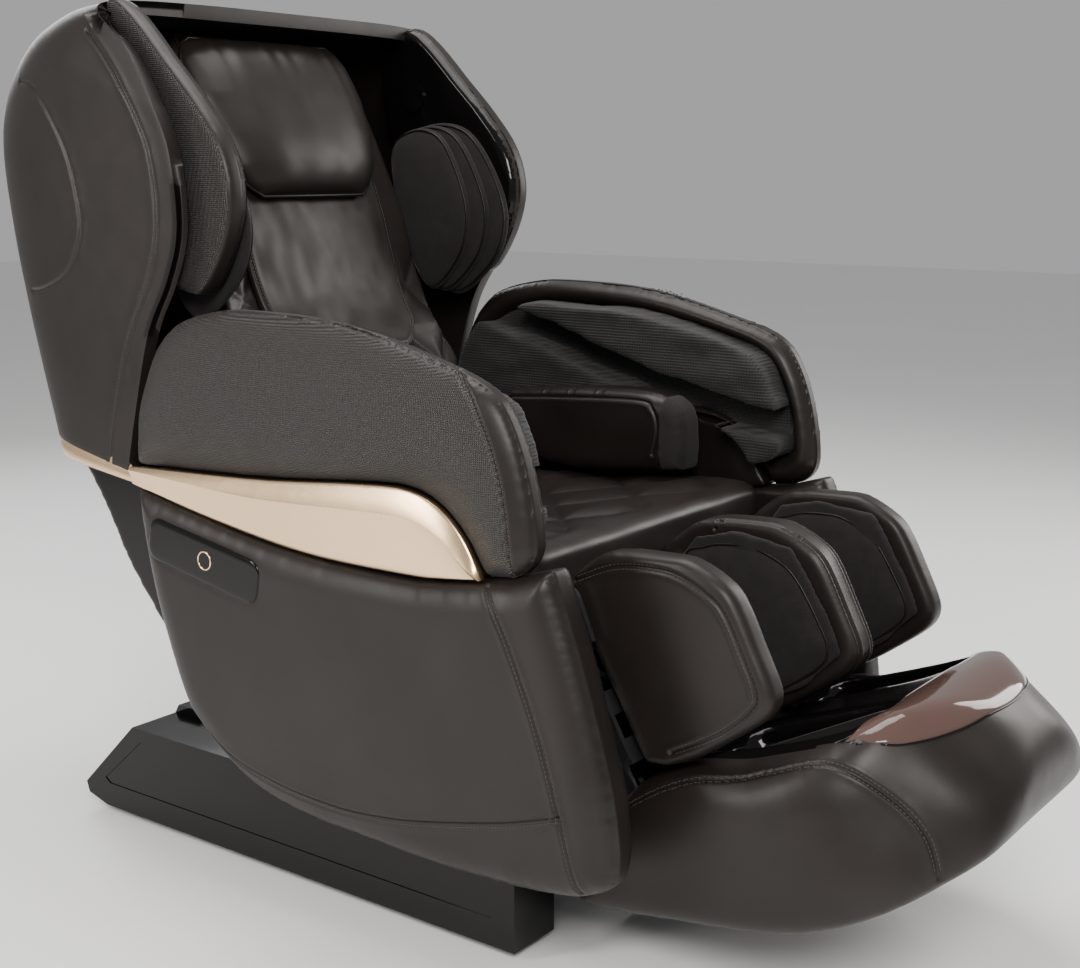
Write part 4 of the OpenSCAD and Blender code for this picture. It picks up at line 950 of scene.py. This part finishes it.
def quilt(u, v, cell_u, cell_v):
    """Height of diamond quilting: 1 in the middle of a diamond, 0 on its seams."""
    a = np.abs(np.sin(math.pi * (u / cell_u + v / cell_v) / 2))
    b = np.abs(np.sin(math.pi * (u / cell_u - v / cell_v) / 2))
    return np.minimum(a, b) ** 0.55


puff = quilt(local[:, 0], local[:, 2], 62, 74)
low = np.clip((330 - local[:, 2]) / 40, 0, 1)
put(obj, co + n * ((puff - 0.9) * 8.5 * face * low)[:, None] * MM)

# ------------------------------------------------------------------ soft leather flap over the rollers
FLAP_LOW = 104.0
FLAP_FRONT = [(-65, 15), (-38, 109), (-24, 210), (-36, 300), (-43, 371), (-43, 523), (-34, 620), (-28, 668)]


def flap_depth(p):
    """How far forward the flap's surface lies at a height."""
    line = smooth_line(FLAP_FRONT, 12)
    return np.interp(p, line[:, 1], line[:, 0])


def flap_half(p):
    """Half the flap's width at a height: rounded at its lower corners."""
    r = 70.0
    w = np.interp(p, [104, 250, 420, 560, 662], [158, 166, 172, 168, 160])
    k = np.clip((p - FLAP_LOW) / r, 0, 1)
    return w - r * (1 - np.sqrt(1 - (1 - k) ** 2))


def folds(x, p):
    """Soft creases that hang from under the pillow."""
    v = Vector((x * 0.011 + p * 0.004, p * 0.0075 - x * 0.003, 1.7))
    w = Vector((x * 0.03, p * 0.022, 6.1))
    return 4.2 * noise.noise(v) + 1.5 * noise.noise(w)


round_end = FLAP_LOW + 60 * (1 - np.cos(np.linspace(0, math.pi / 2, 14)))
levels = np.concatenate([round_end, np.linspace(168, 664, 110)])
front, back_rows = [], []
for p in levels:
    half = float(flap_half(p))
    q = float(flap_depth(p))
    row_f, row_b = [], []
    for k in range(81):
        t = -1 + 2 * k / 80
        x = half * t
        edge = min(1.0, (1 - abs(t)) * half / 7.0)
        rise = 8.5 * math.sqrt(max(0.0, 1 - (1 - edge) ** 2))
        end = min(1.0, (p - FLAP_LOW) / 6.0)
        row_f.append(on_back(x, q - 1.5 - rise * (0.35 + 0.65 * end) - folds(x, p) * edge * end, p))
        row_b.append(on_back(x, q - 0.6, p))
    front.append(row_f)
    back_rows.append(row_b)
ring = [list(f) + list(b[::-1]) for f, b in zip(front, back_rows)]
flap = grid("back_flap_leather", ring, "backrest", "leather", close_columns=True)
close_ends(flap.data, turn_outward=False)
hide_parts("back_flap")
# the hem: a line of stitches 7 mm inside the flap's edge
HEM = 7
hem = [(HEM - flap_half(p), p) for p in levels[::-1]] + [(flap_half(p) - HEM, p) for p in levels]
hem = [(x, max(p, FLAP_LOW + 8)) for x, p in hem]
points = np.array([on_back(x, flap_depth(p) - 11, p) for x, p in hem])
line, up = lay_near(flap, points)
refine(flap, line, 8, 1)
cut_seam(flap, line, 2.4, 1.6, 0.4)
stitches("back_flap_thread", line, up, 2.0, "backrest")

# ------------------------------------------------------------------ head pillow, gathered along its top
PILLOW_LOW, PILLOW_HIGH, PILLOW_EDGE, PILLOW_THICK = 373.0, 643.0, -64.0, 51.0
PILLOW_COLUMNS, PILLOW_ROWS = 96, 72
PILLOW_AT = [0, 0.06, 0.16, 0.35, 0.6, 0.85, 0.95, 1.0]
PILLOW_HALF = [112, 134, 154, 174, 184, 180, 170, 150]


def pillow_half(v):
    """Half the pillow's width at a share of its height."""
    return float(np.interp(v, PILLOW_AT, PILLOW_HALF))


def pillow_level(v):
    return PILLOW_LOW + (PILLOW_HIGH - PILLOW_LOW) * v


pillow_rows = []
for j in range(PILLOW_ROWS + 1):
    v = j / PILLOW_ROWS
    p = pillow_level(v)
    half = pillow_half(v)
    row = []
    for face in (1, -1):
        for k in range(PILLOW_COLUMNS + 1):
            t = (-1 + 2 * k / PILLOW_COLUMNS) * face
            x = half * math.copysign(abs(math.sin(t * math.pi / 2)) ** 0.9, t)
            u = abs(x) / half
            dome = (max(0.0, 1 - u ** 3.2) ** 0.5) * (max(0.0, 1 - abs(2 * v - 1) ** 3.4) ** 0.55)
            sag = 1 - 0.22 * v
            if face > 0:
                gathers = math.sin(x * 0.13 + 1.5 * math.sin(x * 0.05))
                pucker = 3.4 * gathers * math.exp(-((1 - v) / 0.16)) * dome
                pucker += 2.6 * noise.noise(Vector((x * 0.016, p * 0.012, 3.3))) * dome
                pucker += 2.4 * math.sin(x * 0.09 + 2) * math.exp(-(v / 0.09)) * dome
                q = PILLOW_EDGE - PILLOW_THICK * dome * sag - pucker
            else:
                q = PILLOW_EDGE + 6.5 * dome
            row.append(on_back(x, q, p))
    pillow_rows.append(row)
pillow = grid("head_pillow_leather", pillow_rows, "pillow", "leather", close_columns=True)
close_ends(pillow.data)
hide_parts("head_pillow")
piping = [on_back(s * pillow_half(v), PILLOW_EDGE, pillow_level(v))
          for s, levels in ((1, np.linspace(0, 1, 40)), (-1, np.linspace(1, 0, 40))) for v in levels]
tube("head_pillow_piping", piping, 3.0, "pillow", "leather_dark", closed=True)

# ------------------------------------------------------------------ seat cushion, quilted
obj = skin("seat_cushion_leather", "seat_cushion", "chair", "leather_seat", 5.0, 6)
crown(obj, 0, 30, 0, 0.92, 0.3)
co, n = get(obj), normals(obj)
x, y = co[:, 0] / MM, co[:, 1] / MM + MIDDLE
top = np.clip((n[:, 2] - 0.5) / 0.3, 0, 1)
inner = np.clip((285 - np.abs(x)) / 25, 0, 1) * np.clip((y - 8) / 25, 0, 1)
puff = quilt(x, y, 96, 84)
put(obj, co + n * (((puff - 0.85) * 9.0 * inner - 1.5) * top)[:, None] * MM)
ripple(obj, 14, 1.6, 9.0)

# ------------------------------------------------------------------ hip pads
HIP_SEAM = [(140, 600), (132, 640), (142, 672), (170, 684), (300, 678), (432, 668)]
HIP_KNIT_END = 128  # the front end, up to here, is knitted
for s, side in SIDES:
    name = f"hip_pad_{side}"
    obj = skin(f"{name}_leather", name, "chair", ["leather_dark", "knit"], 4.0, 8)
    crown(obj, 0, 26, -s, 0.5, 0.3)
    ripple(obj, 12, 1.8, 4.0)
    line, up = lay_side(obj, HIP_SEAM, -s)
    seam(obj, line, up, "chair", f"{name}_seam", double=False, width=2.6, depth=2.0)
    paint(obj, lambda c, n: (c[:, 1] < (HIP_KNIT_END - MIDDLE) * MM).astype(int))

# ------------------------------------------------------------------ calf rests
CALF_FRONT = [(-10, 22), (-77, 14), (-135, -12), (-165, -36), (-190, -72), (-197, -100), (-195, -150),
              (-191, -196), (-176, -212), (-120, -226), (-40, -226)]
CALF_HALF, CALF_MIDDLE = 262, 17  # where the outer and the middle walls are sewn
obj = skin("calf_shell_leather", "calf_shell", "leg_rest", "leather", 4.0, 6)
ripple(obj, 10, 1.4, 7.0)
flat = smooth_line(CALF_FRONT, 8)
for s, side in SIDES:
    points = np.array([on_leg(s * CALF_HALF, q, p) for q, p in flat])
    line, up = lay_near(obj, points)
    seam(obj, line, up, "leg_rest", f"calf_seam_{side}", width=2.8, depth=2.4)
    points = np.array([on_leg(s * CALF_MIDDLE, q * 1.1 - 4, p * 1.05) for q, p in flat[8:70]])
    line, up = lay_near(obj, points)
    seam(obj, line, up, "leg_rest", f"calf_middle_seam_{side}", double=False, width=2.4, depth=1.8)
obj = skin("calf_lining_fabric", "calf_lining", "leg_rest", "knit", 4.0, 8)
ripple(obj, 14, 3.0, 3.0)

CALF_LEAF = [(-26, -14), (-70, 2), (-126, -20), (-156, -46), (-178, -84), (-183, -150), (-178, -194),
             (-150, -213), (-70, -222), (-26, -222)]
for s, side in SIDES:

    def beside_calf(u, v, h, s=s):
        return on_leg(s * h, u, v)

    for which, wall, way in (("outer", 218, -1), ("inner", 30, 1)):
        name = f"calf_pad_{side}_{which}"
        leaf_pad(name, CALF_LEAF, beside_calf, wall - way, wall + way * 13, "leg_rest", 6, wall * 0.1 + s)

# ------------------------------------------------------------------ foot rest
obj = skin("foot_shell_leather", "foot_shell", "foot_unit", ["leather", "gloss"], 6.0, 26,
           merged=["foot_visor"])
crown(obj, 0, 70, 0, 0.9, 0.2)


def ease(t):
    """A smooth step from 0 to 1."""
    t = np.clip(t, 0, 1)
    return t * t * (3 - 2 * t)


TOE_BULGE = 36
co = get(obj)
x, q, p = leg_axes(co).T
x = np.abs(x)
toe = ease((-300 - p) / 120) * ease((-q - 264) / 60) * ease((275 - x) / 70)
shoulder = ease((x - 150) / 115) * ease((p + 400) / 110) * ease((-q - 30) / 90)
ahead, up_shin = (np.array(on_leg(0, a, b)) - np.array(on_leg(0, 0, 0)) for a, b in ((-1, 0), (0, 1)))
co += np.outer(TOE_BULGE * toe, ahead) - np.outer(14 * toe + 24 * shoulder, up_shin)
put(obj, co)
relax(obj, 14)
ripple(obj, 6, 1.2, 6.0)


def wells(c, n):
    """Gloss inside the two foot wells."""
    x, q, p = leg_axes(c).T
    around = (np.abs(x) < 206) & (q > -262) & (q < 30) & (n[:, 2] > -0.2)
    return (around & (p < -235) & (p > -470)).astype(int)


paint(obj, wells)
FOOT_SEAM = [(262, 90, -268), (262, 0, -262), (258, -90, -266), (250, -150, -274), (240, -200, -290),
             (226, -245, -325), (214, -280, -380), (206, -292, -430), (200, -280, -480)]
for s, side in SIDES:
    flat = smooth_line(np.array([(s * a, b, c) for a, b, c in FOOT_SEAM], float), 10)
    points = np.array([on_leg(*p) for p in flat])
    line, up = lay_near(obj, points)
    seam(obj, line, up, "foot_unit", f"foot_seam_{side}", width=3.0, depth=2.6)
# the visor lies on the top of the toe: rows run across it, each from the wells to its tip
VISOR_HALF, VISOR_ACROSS, VISOR_ALONG, VISOR_LIFT = 205, 90, 30, 1.8
tree = surface(obj)
down = Vector(on_leg(0, 0.6, -0.8)) - Vector(on_leg(0, 0, 0))
down.normalize()
rows = []
for i in range(VISOR_ACROSS + 1):
    u = -1 + 2 * i / VISOR_ACROSS
    reach = math.sqrt(max(0.0, 1 - u * u))
    near = -270 - 12 * reach
    tip = -276 - 150 * reach
    row = []
    for j in range(VISOR_ALONG + 1):
        q = near + (tip - near) * j / VISOR_ALONG
        start = Vector(on_leg(VISOR_HALF * u, q - 72, -160))
        hit, n, _, _ = tree.ray_cast(start, down)
        if hit is None:
            hit, n, _, _ = tree.find_nearest(start + down * 0.2)
        lift = VISOR_LIFT * min(1.0, j / 2, (VISOR_ALONG - j) / 2, i / 3, (VISOR_ACROSS - i) / 3)
        row.append(tuple(hit + n * lift * MM))
    rows.append(row)
visor = grid("foot_visor_gloss", rows, "foot_unit", "visor")
close_ends(visor.data)
shade_smooth(visor)
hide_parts("foot_visor")
tube("foot_visor_rim", [row[-1] for row in rows[2:-2]], 1.6, "foot_unit", "gloss")

# ------------------------------------------------------------------ lower cover of the backrest
looks = ["leather", "gloss"]
obj = skin("rear_cover_shell", "rear_cover", "backrest", looks, 5.0, 6)
paint(obj, lambda c, n: (np.abs(c[:, 0]) > 0.29).astype(int))

# ------------------------------------------------------------------ cloth under the seat's front edge
CLOTH_HALF, CLOTH_FOOT, CLOTH_HIGH, CLOTH_AT = 266, 402, 97, -18
rows = []
for x in np.linspace(-CLOTH_HALF, CLOTH_HALF, 121):
    row = []
    for t in np.linspace(0, 1, 41):
        z = CLOTH_FOOT + CLOTH_HIGH * t
        y = CLOTH_AT - 2.3 * math.sin(x * 0.045 + 2 * math.sin(z * 0.05)) * math.sin(math.pi * t)
        row.append((x * MM, (y - MIDDLE) * MM, z * MM))
    rows.append(row)
knee_cloth = grid("knee_flap_fabric", rows, "chair", "knit")
wall = knee_cloth.modifiers.new("wall", "SOLIDIFY")
wall.thickness, wall.offset = 1.5 * MM, 0
apply_modifiers(knee_cloth)
shade_smooth(knee_cloth)
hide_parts("knee_flap")
